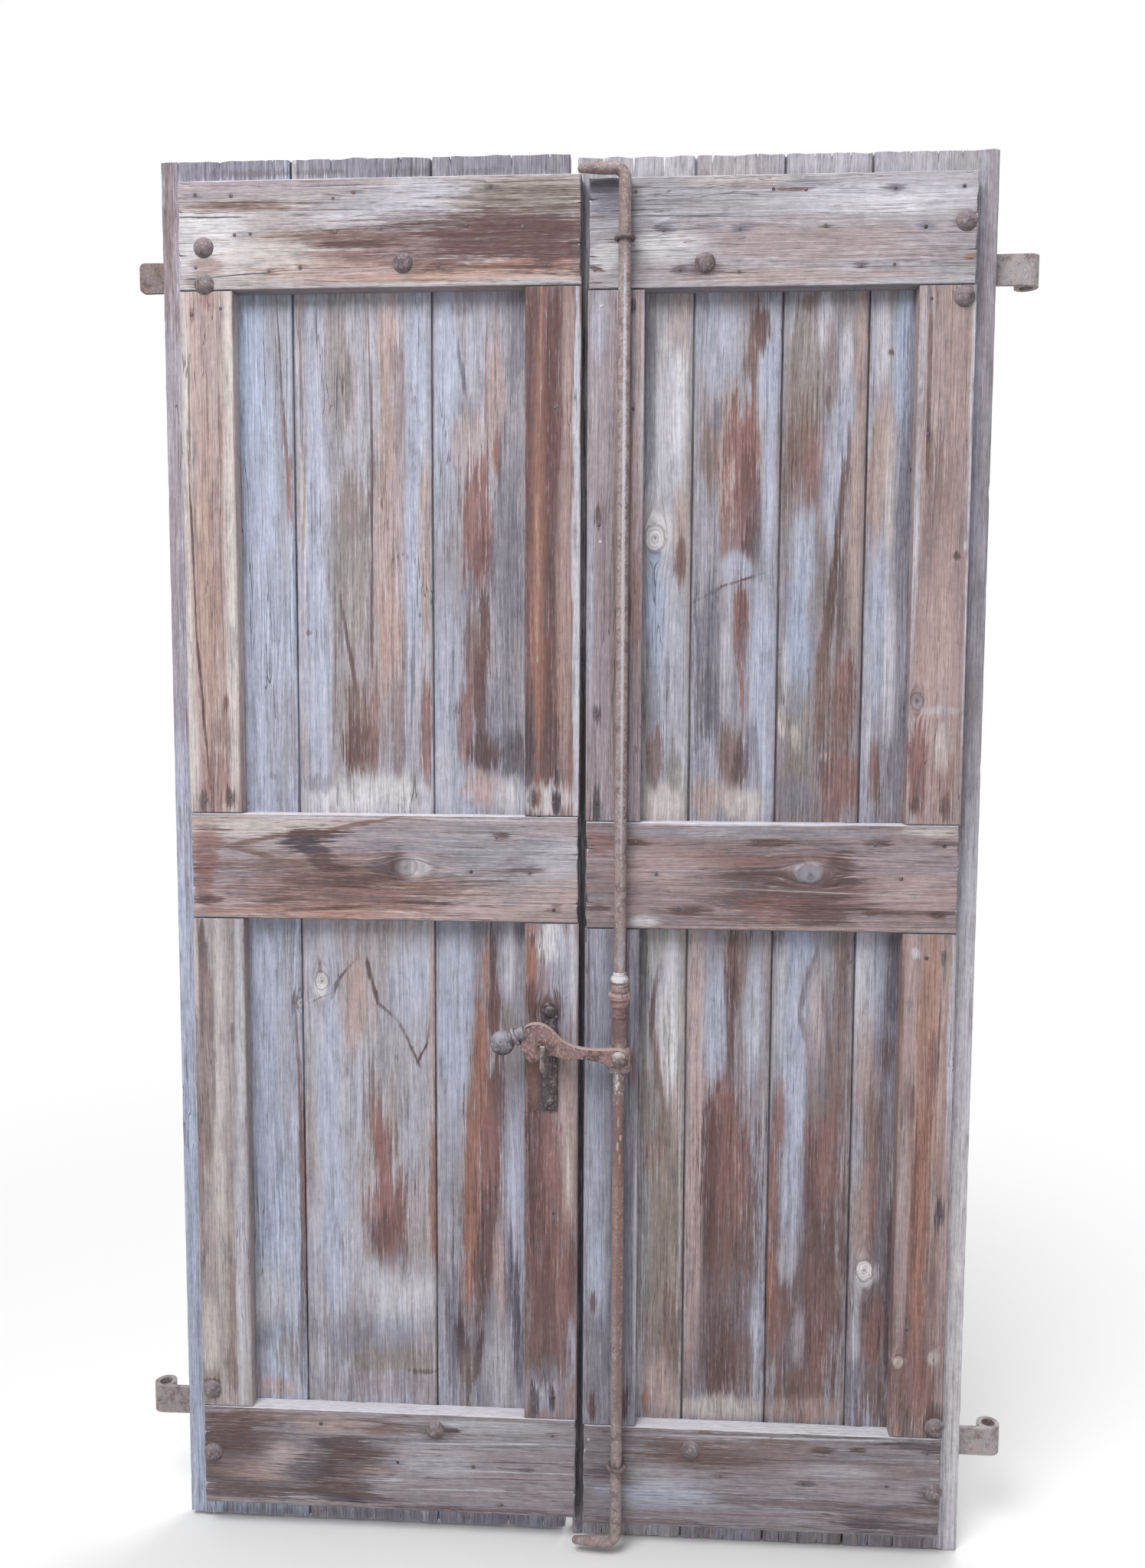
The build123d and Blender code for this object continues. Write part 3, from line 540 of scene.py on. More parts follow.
    "left_lower_outer_stile": """
    4: umber 190 520 22 90 .85, brown 200 700 30 130, brown 205 950 30 260 .55,
    cream 250 800 18 400 .6, umber 290 790 6 30 .6, pale 318 800 14 400, cream 170 650 8 250 .5,
    brown 168 700 > 180 1180 3 .6, red 215 640 14 60 .4, 6: brown 185 160 10 200 .5,
    cream 250 180 20 300 .6, pale 325 430 20 460, brown 290 560 14 180 .35, cream 215 690 30 120,
    brown 290 810 20 70 .5, olive 215 840 34 50 .5, dark 240 862 10 24 .8, umber 222 832 26 10 .6,
    4: pale 240 800 64 320 .15 1""",
    "left_lower_meeting_stile": """
    6: deep 1350 420 80 420 .45, umber 1340 640 60 260 .35, 4: rust 1300 560 18 120 .85,
    umber 1300 480 9 24, white 1370 490 50 60 .8, lavender 1400 640 44 160 .6,
    umber 1358 720 40 44 .75, deep 1300 690 14 60 .6, pale 1436 640 14 200, umber 1300 930 34 60,
    tan 1410 960 30 130 .5, pink 1410 1100 34 90 .5, rust 1298 975 22 100 .9 .3, deep 1318 1110 50 44,
    dark 1325 1064 52 3 .8 .4, umber 1350 820 44 34 .5, 6: red 1350 260 60 300 .8,
    deep 1310 160 26 240, umber 1300 300 10 160 .5, umber 1370 250 > 1366 400 7 .9,
    tan 1420 130 18 200, cream 1418 130 6 100 .6, red 1400 480 40 180 .6, umber 1430 520 10 150 .6,
    deep 1340 560 44 160 .55, lavender 1430 730 14 90 .6, brown 1350 740 60 110 .6,
    lavender 1340 860 60 70 .5, dark 1304 900 16 50 .8, dark 1366 900 9 30 .8, umber 1330 790 30 60 .5""",
    # The pale stroke along the top edge, pale 170 68 > 1460 84, is a painted highlight from above.
    "left_middle_rail": """
    4: grey 386 231 215 154 .3 1, red 640 300 380 110 .4, umber 600 260 300 80 .3,
    cream 420 110 260 40 .6, mauve 800 150 200 60 .8, grey 1180 200 280 110 .75,
    pale 1390 200 80 70 .5, pale 170 68 > 1460 84 4, red 205 170 44 76 .75, red 196 290 26 80 .65,
    umber 206 345 44 14, red 222 380 30 14 .5, rust 700 330 250 76 .45, brown 780 300 260 70 .6,
    orange 560 390 300 18 .5, brown 272 168 > 420 138 9 .85, brown 400 140 > 560 118 9,
    brown 540 128 > 850 72 8 .85, brown 830 74 > 960 80 4 .6, brown 272 168 > 420 204 9 .85,
    brown 400 205 > 580 238 8 .75, umber 540 130 80 24 .85 .5, dark 520 158 58 20 .9 .5,
    dark 560 184 50 22 .9 .5, umber 590 212 44 22 .85 .5, umber 620 238 60 18 .85 .5,
    brown 330 238 > 540 238 6 .6, red 650 200 > 840 196 9 .5, brown 455 316 > 640 268 10 .75,
    umber 680 290 90 22, brown 470 318 > 600 302 8, umber 820 250 60 50 .75, dark 842 232 22 40 .5,
    umber 410 350 > 560 345 9, brown 640 345 120 14 .6, umber 480 384 > 700 372 7,
    umber 870 352 > 1040 358 7 .9, red 760 330 90 16 .5, white 900 240 44 34 .6,
    umber 1190 134 30 12 .85, umber 1220 246 > 1330 250 12 .6, umber 1378 368 18 8 .6,
    brown 990 300 > 1440 310 3 .4""",
    # The white stroke along the top edge, white 185 908 > 340 912, is a painted highlight from above.
    "left_bottom_rail": """
    6: umber 330 1100 200 150 .45, brown 300 960 120 30, umber 330 1030 150 60 .6,
    tan 380 1120 130 40 .6, pink 470 1070 60 30 .6, umber 330 1200 140 34 .6,
    cream 330 1230 140 8 .35, brown 440 950 150 24 .5, tan 640 975 120 30 .6,
    umber 890 976 150 18 .85, brown 820 1000 80 20, dark 650 1046 100 24 .85 .6,
    dark 560 1036 > 740 1022 12, umber 720 1082 110 18 .8, umber 780 1060 > 850 1072 8,
    dark 590 1130 110 40 .75 .6, tan 740 1130 90 24 .9, pale 800 1165 70 30 .6,
    umber 640 1200 110 34 .8 .6, umber 640 1180 > 790 1222 12 .8, dark 700 1226 110 14 .6,
    grey 1120 1040 330 30 .6, mauve 1150 1140 320 110 .6, pale 860 1042 > 1440 1046 4,
    pale 860 1128 > 1440 1146 3 .6, pale 880 1196 > 1440 1206 3 .6, dark 720 1098 > 1440 1112 2 .6,
    dark 880 1158 > 1440 1166 2 .6, pale 1110 985 240 22 .5, umber 980 1008 52 26 .5,
    dark 1000 1000 > 1046 1002 6 .9, umber 1100 1266 330 8 .5, brown 228 1080 30 30 .5,
    white 185 908 > 340 912 4 .8, umber 690 1110 150 90 .45, dark 660 1120 90 26 .4,
    umber 250 1050 120 120 .4, pale 480 1080 90 80 .12, pale 960 1110 130 60 .35""",
    # The ink rows in mm at x 19.5 are painted shade in the gap between the two leaves.
    "right_board_1": """
    3: lavender 402 761 52 390 .6 1, 5: lavender 411 801 50 350 .35 1, 7: grey 404 502 49 400 .22 1,
    brown 400 500 80 440 .55, 5: brown 400 1000 70 200 .4, 1: pale 420 80 130 40 .55,
    slate 350 740 16 300 .6, pale 420 800 46 240 .8, tan 436 560 40 80 .5, white 440 700 20 50,
    grey 390 520 40 50 .5, 3: white 372 320 44 56 .95, tan 440 300 24 110, brown 444 400 18 60 .85,
    blue 360 560 30 160 .85, slate 350 840 24 160 .5, grey 420 860 36 150 .5, brown 362 1010 24 80,
    olive 420 1060 30 60 .5, cream 380 1150 60 50 .8, 5: dark 345 520 16 100 .6,
    slate 350 760 16 260 .5, white 430 800 30 220 .85, pale 440 560 28 110 .6,
    umber 392 580 > 376 760 8 .75, brown 378 740 > 408 1000 12 .75, olive 350 1000 24 140 .6,
    tan 450 1040 22 110 .5, brown 410 1080 20 80 .5, 7: olive 400 300 66 330 .6,
    grey 350 240 20 240 .5, brown 430 640 30 130 .5, tan 390 800 50 76 .65, rust 350 850 16 40 .6,
    tan 420 860 40 40 .6, red 370 60 40 60 .35, mm: ink 19.5 480 5.5 900 .6 .5,
    ink 19.5 1500 5.5 800 .12 .5""",
    "right_board_2": """
    7: umber 590 480 130 440 .6, 5: brown 610 1000 120 200 .4, 3: slate 600 800 120 300 .25,
    1: pale 620 72 130 40 .55, olive 620 72 130 40 .25, lavender 560 620 70 160 .6,
    lavender 715 700 36 200 .8, deep 686 590 26 60 .8, umber 700 560 18 30 .5, brown 660 680 20 70 .8,
    umber 652 700 8 50 .5, tan 596 900 30 130 .6, slate 548 880 20 60 .8, olive 530 960 30 80 .5,
    red 655 930 36 120 .9, 3: brown 535 100 26 90 .55, tan 590 150 36 170, red 630 120 52 160 .9 .6,
    deep 655 250 34 150, red 610 300 40 130, umber 660 350 30 60, lavender 612 426 44 40 .75,
    slate 690 380 24 60 .5, umber 500 520 > 580 476 14 .6, umber 560 484 > 700 440 16 .8,
    lavender 715 180 20 200 .8, red 622 600 34 110 .9 .6, deep 630 560 20 70 .6,
    red 622 700 > 632 880 10 .85, lavender 690 720 40 260 .9, slate 530 720 50 200,
    pale 582 700 16 200 .5, dark 520 840 40 90 .4, brown 600 1010 46 90 .75, umber 632 1020 26 60,
    slate 660 960 20 60 .6, tan 530 1130 60 50, cream 640 1150 80 40 .6, lavender 706 1060 14 120,
    5: pink 520 760 34 330 .8, lavender 580 760 36 180 .8, umber 636 560 20 130 .85,
    brown 660 540 40 110 .5, umber 628 760 12 160, lavender 712 700 30 170 .7 1,
    white 715 730 12 90 .4 1, red 600 1040 44 110 .8, deep 580 1100 20 60, umber 650 1080 16 90 .6,
    7: pink 500 330 32 340 .85, deep 575 110 44 190 .9 .6, red 630 160 50 200 .8,
    umber 560 330 26 140, brown 640 420 60 150, slate 640 560 60 100 .5, lavender 700 640 18 130 .8,
    umber 590 700 50 130 .65, brown 660 740 40 90 .5, cream 590 880 120 34 .8,
    deep 600 560 120 380 .25 1""",
    "right_board_3": """
    7: umber 850 480 130 420 .65, 5: brown 900 1000 120 220 .4, 3: brown 880 700 110 400 .2,
    1: pale 900 72 140 40 .55, pale 880 570 22 80 .8, deep 830 505 24 20 .5, olive 820 760 50 200 .5,
    pale 950 660 18 80 .8, lavender 940 880 34 130, brown 900 700 26 120 .4, tan 992 700 22 260,
    brown 820 960 50 80 .6, umber 890 800 9 30 .5, 3: brown 810 110 60 160 .6, red 850 130 30 110 .5,
    lavender 812 400 40 150 .75, blue 800 640 40 200 .8, lavender 900 200 30 130,
    umber 950 60 > 920 380 14 .75, umber 925 330 > 880 700 18 .85, brown 880 640 > 862 1000 20 .8,
    tan 975 330 26 330 .75, umber 930 560 14 160 .55, red 945 800 34 110 .85, deep 960 760 14 80 .5,
    brown 920 900 34 120 .55, cream 750 900 12 44 .75, cream 790 940 14 30 .8,
    cream 884 1004 18 14 .9, olive 800 900 40 120 .4, red 920 1090 60 90 .8, umber 880 1040 20 60 .5,
    slate 790 1130 60 50 .5, pale 760 760 10 90 .6, 5: blue 850 500 60 60 .85, umber 790 470 22 60 .4,
    pale 800 640 26 160 .6, lavender 830 840 40 240 .85, umber 912 500 > 880 600 8 .8,
    umber 880 580 > 856 720 8 .75, brown 856 700 > 892 860 10 .85, brown 892 840 > 888 1000 10 .8,
    tan 915 700 30 150, umber 920 540 > 960 900 12 .6, brown 985 760 26 330 .6,
    brown 930 1020 50 130 .65, red 790 1040 22 110 .85, deep 775 1000 10 60 .5, red 880 1110 22 60 .6,
    lavender 848 1060 20 90 .8, 7: red 750 180 22 180 .8, lavender 815 200 34 220 .85,
    pale 800 400 30 70 .6, deep 880 130 26 130, red 930 110 44 130, rust 750 500 20 150 .95,
    red 775 640 24 130, brown 920 480 60 160 .75, umber 930 350 40 90 .5, pale 840 650 22 90 .5,
    slate 800 700 24 70 .5, red 900 700 34 130, deep 870 640 12 90 .5, brown 840 820 90 50 .6,
    tan 850 885 120 34 .75, umber 820 840 30 34 .4, 5: lavender 860 700 90 320 .3 1,
    7: deep 860 560 120 380 .25 1""",
    "right_board_4": """
    7: umber 1080 500 70 420 .5, 5: brown 1110 1000 60 220 .4, 3: slate 1100 900 60 240 .3,
    1: pale 1230 62 190 40 .55, olive 1230 62 190 40 .2, pale 1060 620 26 120,
    blue 1130 700 36 260 .8, slate 1152 740 14 300, tan 1072 900 36 120, umber 1088 654 9 9 .8,
    mauve 1395 500 40 600 .7 .5, 3: tan 1040 190 26 200 .8, brown 1022 200 6 160 .4,
    cream 1078 200 14 200 .6, slate 1128 300 26 330 .8, lavender 1050 620 40 230 .85,
    pale 1080 740 20 230 .6, dark 1142 700 10 330 .55, red 1028 1050 20 90 .75,
    umber 1042 1080 10 70 .5, slate 1100 1040 30 110 .6, grey 1370 620 30 700 .5 .5,
    pale 1016 900 8 160 .6, 5: pale 1062 620 30 200 .75, slate 1145 640 34 230 .85,
    dark 1160 560 16 130 .5, lavender 1110 560 26 160 .5, tan 1060 900 26 160 .6,
    umber 1140 850 20 60, slate 1150 1000 22 130 .6, brown 1090 1060 24 90 .45,
    umber 1120 1040 10 70 .4, pale 1400 800 44 700 1 .5, white 1400 900 44 500 .3,
    7: red 1070 190 26 130, tan 1040 260 30 160 .5, slate 1105 250 18 200 .6, white 1060 444 36 34 .8,
    pale 1030 480 14 60 .6, dark 1128 480 12 300, red 1076 640 30 110 .8, pale 1022 640 14 110 .6,
    umber 1060 560 16 30 .5, slate 1020 800 26 60 .6, brown 1080 830 40 60 .5,
    umber 1110 880 20 60 .5, pale 1335 600 44 700 1 .5, white 1335 600 44 600 .8 1,
    umber 1110 560 80 380 .2 1""",
    "right_upper_meeting_stile": """
    1: pink 308 760 16 330 .6, pale 326 760 6 330 .6, lavender 190 560 26 90 .4,
    umber 258 800 8 300 .4, umber 296 515 7 22 .8, 3: brown 240 560 12 640 .4, umber 282 500 6 640 .5,
    pink 300 300 14 330 .6, red 306 560 10 190 .6, umber 190 270 11 34 .85, dark 185 870 12 30 .85,
    dark 184 1150 16 50 .85, umber 282 540 8 40 .6, lavender 166 560 8 300 .5""",
    "right_upper_outer_stile": """
    3: orange 1233 761 64 390 .3 1, 1: tan 1270 760 60 330 .5, umber 1206 480 > 1196 1030 7 .6,
    pale 1184 640 10 160 .5, pale 1336 760 9 330 .75, dark 1198 906 7 22, umber 1318 478 40 34 .35,
    3: pale 1164 300 9 260, brown 1230 300 40 240 .55, umber 1210 430 26 80 .4,
    orange 1225 640 40 160 .6, pale 1318 500 10 400 .8, umber 1170 815 22 30 .8,
    pink 1230 700 60 380 .6, pale 1236 862 60 12 .45, red 1166 1030 30 120 .85,
    red 1250 1060 30 90 .5, deep 1252 1150 16 40, umber 1160 1150 14 24, cream 1240 980 30 60 .5,
    umber 1285 388 12 12 .8, white 1312 360 8 20, dark 1138 700 5 260 .5""",
    "right_lower_meeting_stile": """
    7: slate 240 400 90 500, 5: slate 240 800 90 330 .8, lavender 200 760 40 330 .5,
    umber 290 520 10 90 .6, lavender 310 700 9 130, red 312 880 10 50 .75,
    7: lavender 195 200 40 260 .6, lavender 198 460 34 100, umber 182 545 9 26,
    slate 296 300 10 330 .5, pale 318 400 8 330 .6, umber 178 880 12 34 .8, umber 280 870 14 40 .8,
    5: umber 170 480 > 172 900 5 .55, umber 300 500 > 302 980 5 .5, slate 240 800 70 330 .35 1""",
    "right_lower_outer_stile": """
    5: orange 1274 809 60 350 .6 1, 7: umber 1220 600 70 360 .35, 5: pink 1215 760 24 330 .6,
    tan 1320 760 26 330 .5, pale 1352 800 14 330 .8, umber 1330 540 > 1280 1140 5 .6,
    brown 1262 560 > 1270 1140 4 .6, red 1285 920 16 110, umber 1215 1000 20 60,
    white 1236 510 16 16 .6, umber 1325 522 12 20, umber 1192 640 5 110 .5,
    7: pink 1175 300 18 330 .6 1, rust 1225 300 26 330 .8, deep 1210 200 9 200 .5,
    pink 1300 430 14 400 .6 1, dark 1290 265 14 40 .8, umber 1188 640 12 70 .8,
    cream 1160 730 24 12 .8, brown 1160 800 26 80, rust 1220 640 30 160 .6, red 1230 800 44 110,
    cream 1270 720 16 20 .6, umber 1275 940 40 60 .8, dark 1280 960 34 30 .6, umber 1170 920 24 60 .6""",
    # The pale stroke along the top edge, pale 300 94 > 1370 92, is a painted highlight from above.
    "right_middle_rail": """
    5: deep 820 280 300 110 .5, red 1150 300 220 90 .3, red 205 140 44 50 .6, umber 195 366 34 10 .85,
    grey 700 118 400 20, pale 300 94 > 1370 92 5 .8, cream 1290 118 80 16 .6, tan 440 220 150 60 .4,
    mauve 1200 220 180 60 .5, pink 1240 320 150 60 .6, red 640 205 120 24 .6, red 930 200 80 18 .6,
    umber 800 260 200 26 .75, umber 760 320 190 50 .5, red 800 370 150 40 .6, umber 930 385 90 40,
    dark 960 270 60 30 .6, umber 985 250 46 60, dark 892 262 40 24 .5, pale 896 240 40 30 .6,
    dark 895 262 12 9 .8, umber 700 152 > 820 152 12 .8, umber 333 152 36 10 .85,
    umber 1103 154 42 10 .85, umber 1330 155 50 8 .6, umber 420 372 > 560 370 14 .8,
    brown 500 180 120 22 .4, white 350 404 40 20 .6, umber 1040 376 > 1340 382 9,
    umber 1306 384 30 10 .8, pink 300 424 > 1370 436 5 .5, cream 620 300 > 1340 330 3 .4,
    umber 560 360 > 860 335 4 .5, pink 450 250 140 90 .35 1""",
    # The pale stroke along the top edge, pale 320 965 > 1120 985, is a painted highlight from above.
    "right_bottom_rail": """
    7: umber 440 1000 60 18, dark 500 1018 60 30 .6, brown 640 1040 240 70 .6,
    umber 490 1080 90 26 .5, lavender 390 1160 150 40, dark 210 1085 60 22 .6,
    mauve 900 1120 300 80 .5, umber 855 1124 30 10, umber 925 1014 30 10 .8, umber 1028 1016 26 9 .8,
    dark 280 1040 > 900 1050 2 .5, dark 280 1098 > 1290 1110 2 .5, red 520 1222 > 1290 1226 5,
    dark 1130 1255 140 22, dark 1230 1005 80 18, umber 1270 1160 44 30 .6, grey 700 1200 300 20 .5,
    umber 330 1240 200 10 .5, pale 320 965 > 1120 985 4 .6, pale 900 1062 > 1290 1072 3 .5,
    brown 1150 1080 140 30 .4, pale 290 1140 > 560 1150 3 .5, umber 560 1040 130 22 .5,
    umber 900 1190 300 18 .45, pale 420 1100 120 40 .35, pale 980 1090 120 18 .35""",
    # The long thin pale strokes after 3: and 1: are a painted highlight along the upper rod.
    "rod": """
    5: white 230 790 8 12 .8 .5, pale 232 830 6 16 .7 .5, white 236 872 5 8, pale 228 905 5 12,
    white 236 935 5 8 .6, red 240 560 20 34 .25, red 240 672 20 44 .85, orange 250 660 6 34 .5,
    deep 240 745 20 60 .85, pale 246 500 12 60 .5, white 238 915 8 13 .9 .4, white 231 942 6 15 .9 .4,
    pale 241 965 8 12 .8 .4, white 233 992 6 12 .8 .4, umber 240 1095 24 150 .75,
    cream 237 1062 4 13 .8 .4, cream 243 1110 3 10 .8 .4, cream 234 1140 4 12 .8 .4,
    cream 241 1180 3 14 .7 .4, brown 238 1010 16 60 .5, 7: rust 240 300 20 300 .5,
    umber 246 500 8 300 .4, 5: umber 240 470 18 60 .3, 3: pale 252 500 5 700 .6,
    1: pale 260 700 5 400 .5, brown 256 230 20 130 .5, 7: brown 250 800 20 130 .5""",
    # The white patch on the ball and the thin cream lines are painted highlights.
    "rod_ornament": """
    5: red 236 705 40 46 .75, deep 238 755 40 44, white 236 593 26 15 1 .4, ink 238 612 26 3 .5,
    rust 238 630 40 9 .25 .4, cream 232 622 22 3 .9, red 240 650 30 10 .2 .4, cream 238 572 20 3 .8,
    dark 238 640 34 3 .45, tan 232 662 20 3 .6""",
}

# Base tone, second tone and strength of the fine dark lines.
WOOD = {
    "left_board_1": ((180, 189, 210), (163, 164, 179), 0.4),
    "left_board_2": ((174, 174, 187), (164, 156, 160), 0.4),
    "left_board_3": ((170, 174, 190), (150, 143, 150), 0.4),
    "right_board_1": ((180, 180, 189), (160, 153, 152), 0.4),
    "right_board_2": ((162, 161, 174), (147, 139, 143), 0.45),
    "right_board_3": ((152, 148, 156), (134, 124, 125), 0.5),
    "right_board_4": ((164, 164, 177), (145, 137, 143), 0.45),
    "left_top_rail": ((186, 180, 182), (164, 153, 153), 0.7),
    "right_top_rail": ((178, 175, 182), (162, 155, 159), 0.65),
    "left_middle_rail": ((178, 160, 158), (158, 143, 145), 0.8),
    "right_middle_rail": ((154, 137, 138), (136, 119, 121), 0.8),
    "left_bottom_rail": ((150, 143, 149), (130, 123, 127), 0.9),
    "right_bottom_rail": ((144, 138, 143), (124, 118, 122), 0.9),
    "left_upper_outer_stile": ((176, 158, 155), (164, 143, 141), 0.5),
    "left_lower_outer_stile": ((172, 162, 161), (152, 141, 141), 0.5),
    "left_upper_meeting_stile": ((136, 108, 106), (110, 86, 86), 0.6),
    "left_lower_meeting_stile": ((152, 136, 138), (130, 108, 107), 0.5),
    "right_upper_meeting_stile": ((160, 149, 155), (144, 131, 136), 0.5),
    "right_lower_meeting_stile": ((148, 143, 153), (134, 128, 137), 0.5),
    "right_upper_outer_stile": ((164, 147, 146), (148, 128, 127), 0.5),
    "right_lower_outer_stile": ((156, 134, 131), (132, 109, 107), 0.55),
}

# Knots that turn the grain: x, z and radius in mm, and the tone of the rings.
KNOTS = {
    "left_board_1": [(-377, 768, 5, "pale")],
    "left_board_2": [(-346, 800, 9, "white")],
    "right_board_1": [(113, 1410, 13, "white")],
    "right_board_4": [(413, 406, 11, "white")],
    "right_upper_outer_stile": [(458, 1195, 8, "mauve")],
    "right_lower_outer_stile": [(457, 288, 7, "tan")],
    "left_middle_rail": [(-221, 966, 11, "grey")],
    "right_middle_rail": [(324, 964, 12, "slate")],
    "left_lower_meeting_stile": [(-27, 768, 9, "red")],
}

# Nails in the framework, by leaf: x and z in mm.
NAILS = {
    "left_leaf": [
        (-495, 1855), (-447, 1853), (-284, 1854), (-104, 1858), (-311, 1847), (-249, 1808),
        (-309, 1805), (-136, 1810), (-62, 1807), (-398, 1756), (-356, 1760), (-173, 1759),
        (-33, 1758), (-443, 1803), (-422, 1804), (-496, 1762), (-503, 1702), (-464, 1709),
        (-19, 1577), (-97, 1008), (-132, 961), (-52, 960), (-19, 910), (-498, 1055), (-463, 1060),
        (-48, 1060), (-20, 1056), (-508, 170), (-349, 165), (-156, 163), (-19, 161), (-239, 112),
        (-131, 110), (-55, 109), (-91, 55), (-47, 215), (-18, 217), (-18, 485),
    ],
    "right_leaf": [
        (84, 1848), (260, 1848), (301, 1847), (414, 1846), (500, 1847), (120, 1800), (218, 1799),
        (327, 1801), (453, 1798), (142, 1750), (372, 1751), (415, 1752), (32, 1751), (218, 1746),
        (82, 1704), (463, 1709), (463, 1539), (83, 1574), (39, 1425), (38, 1175), (39, 1056),
        (92, 1005), (252, 1005), (409, 1004), (499, 1004), (119, 961), (444, 959), (150, 914),
        (403, 911), (491, 909), (361, 158), (404, 159), (500, 158), (446, 108), (332, 106),
        (217, 111), (37, 204), (457, 1056), (496, 1052), (467, 335), (507, 498), (480, 853),
    ],
}
PALE_NAILS = {"right_leaf": [(41, 1705), (32, 158), (41, 1403)]}

# Irons, by whole names or last words of nodes: name, base, dark and pale tone, seed, and what sets
# them apart.
IRONS = {
    ("strap", "guide"): (
        "strap_iron", (122, 108, 110), (88, 73, 74), (158, 148, 152), 2, {}),
    ("bolts", "nuts"): (
        "bolt_rust", (122, 111, 115), (84, 71, 73), (168, 160, 167), 5,
        {"rub": 0.7, "top_highlight": 0.3}),
    ("rod",): (
        "rod_rust", (154, 138, 137), (120, 101, 101), (188, 181, 185), 7,
        {"rub": 0.6}),
    ("ornament",): (
        "collar_rust", (170, 152, 149), (130, 110, 108), (202, 191, 188), 9,
        {"rub": 0.35, "top_highlight": 0.6}),
    ("lever",): (
        "lever_rust", (137, 110, 109), (82, 62, 62), (198, 178, 174), 11,
        {"rub": 0.6, "rust": 0.5, "top_highlight": 0.9}),
    ("pin",): (
        "pin_worn", (150, 136, 134), (104, 90, 89), (216, 212, 214), 12,
        {"rub": 0.5, "metal": 0.3, "top_highlight": 0.6}),
    ("knob",): (
        "knob_worn", (130, 123, 132), (74, 67, 75), (188, 185, 193), 13,
        {"rub": 0.7, "metal": 0.2, "rust": 0.1, "top_highlight": 0.6}),
    # The catch plate and its nails are dark partly from their own rust, partly painted shade under the
    # lever.
    ("plate", "nails"): (
        "catch_rust_and_shade", (87, 78, 84), (52, 45, 50), (168, 161, 165), 17,
        {"rub": 0.6, "rust": 0.15, "top_highlight": 0.6}),
    ("hook",): (
        "hook_rust", (128, 118, 116), (84, 73, 72), (196, 190, 190), 19,
        {"rub": 0.7, "top_highlight": 0.6}),
    ("right_upper_strap", "right_lower_strap"): (
        "pale_strap", (166, 158, 161), (122, 107, 108), (194, 188, 191), 31, {}),
    ("left_lower_strap",): (
        "dusty_strap", (150, 142, 143), (112, 99, 99), (182, 176, 179), 33, {}),
}


def is_rail(node):
    return node.endswith("rail")


def dress(node, material):
    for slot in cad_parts[node].material_slots:
        slot.material = material


def new_piece(name, work, material, smooth=False):
    """An object in the scene, made from a bmesh."""
    mesh = bpy.data.meshes.new(name)
    work.to_mesh(mesh)
    work.free()
    for polygon in mesh.polygons:
        polygon.use_smooth = smooth
    mesh.materials.append(material)
    piece = bpy.data.objects.new(name, mesh)
    bpy.context.collection.objects.link(piece)
    return piece


# The amount and softness of a row that doesn't give them, and how much stronger all are laid.
USUAL = (0.7, 0.8)
STAIN_GAIN = 1.22
# A stroke's half width in mm, for a width of one pixel.
STROKE_SHARE = 0.405
# The faces on which the stains were placed, y in mm.
BOARD_FACE = 0.0
FRAME_FACE = -25.0
ROUND_FACES = {"rod": -49.0, "rod_ornament": -53.0}
# How far right of its rows the rod is, in each crop's pixels.
ROD_SHIFTS = {"1": 10, "3": 14, "5": 31, "7": 18}


def neat(length):
    """Whole mm, and tenths below ten."""
    return float(round(length)) if abs(length) >= 10.0 else round(length, 1)


class Face:
    """The side of a node that the crops show, onto which its rows are cast."""

    def __init__(self, node):
        self.upright = not is_rail(node)
        self.depth = BOARD_FACE if "board" in node else ROUND_FACES.get(node, FRAME_FACE)
        self.shifts = ROD_SHIFTS if node in ROUND_FACES else {}
        self.crop = None

    def spot(self, x, y):
        """Where a pixel of the crop lies on the face: x and z in mm."""
        left, top, enlarged = CROPS[self.crop]
        right = left + (x + self.shifts.get(self.crop, 0)) / enlarged - PHOTO[0] / 2.0
        up = PHOTO[1] / 2.0 - top - y / enlarged
        turn = Euler([math.radians(a) for a in CAMERA_TURN], "XYZ").to_matrix()
        ray = turn @ Vector((right, up, -PHOTO[1] * CAMERA_LENS / FILM_HEIGHT))
        place = Vector(CAMERA_PLACE) + ray * ((self.depth * MM - CAMERA_PLACE[1]) / ray.y)
        return round(place.x / MM, 1), round(place.z / MM, 1)

    def patch(self, x, y, half_x, half_y):
        """A patch's lean, then its middle and half sizes."""
        middle, side, top = self.spot(x, y), self.spot(x + half_x, y), self.spot(x, y - half_y)
        return 0.0, *middle, abs(side[0] - middle[0]), abs(top[1] - middle[1])

    def stroke(self, x, y, end_x, end_y, width):
        """A stroke's lean, then its middle and half sizes."""
        start, end = self.spot(x, y), self.spot(end_x, end_y)
        run = [after - before for before, after in zip(start, end)]
        middle = [(before + after) / 2.0 for before, after in zip(start, end)]
        half = STROKE_SHARE * width
        if self.upright:
            return run[0] / run[1], *middle, half, abs(run[1]) / 2.0
        return run[1] / run[0], *middle, abs(run[0]) / 2.0, half

    def stain(self, tone, *words):
        """A row in mm, as a stain, a painted highlight or painted shade: tone, x, z, half sizes,
        amount, softness and lean.
        """
        is_stroke = ">" in words
        numbers = [float(word) for word in words if word != ">"]
        count = 5 if is_stroke else 4
        form, rest = numbers[:count], numbers[count:]
        if self.crop == "mm":
            form = [0.0] + form
        else:
            form = self.stroke(*form) if is_stroke else self.patch(*form)
        amount, soft = rest + list(USUAL[len(rest):])
        amount = round(min(amount * STAIN_GAIN, 1.0), 2)
        return (tone, *map(neat, form[1:]), amount, soft, form[0])


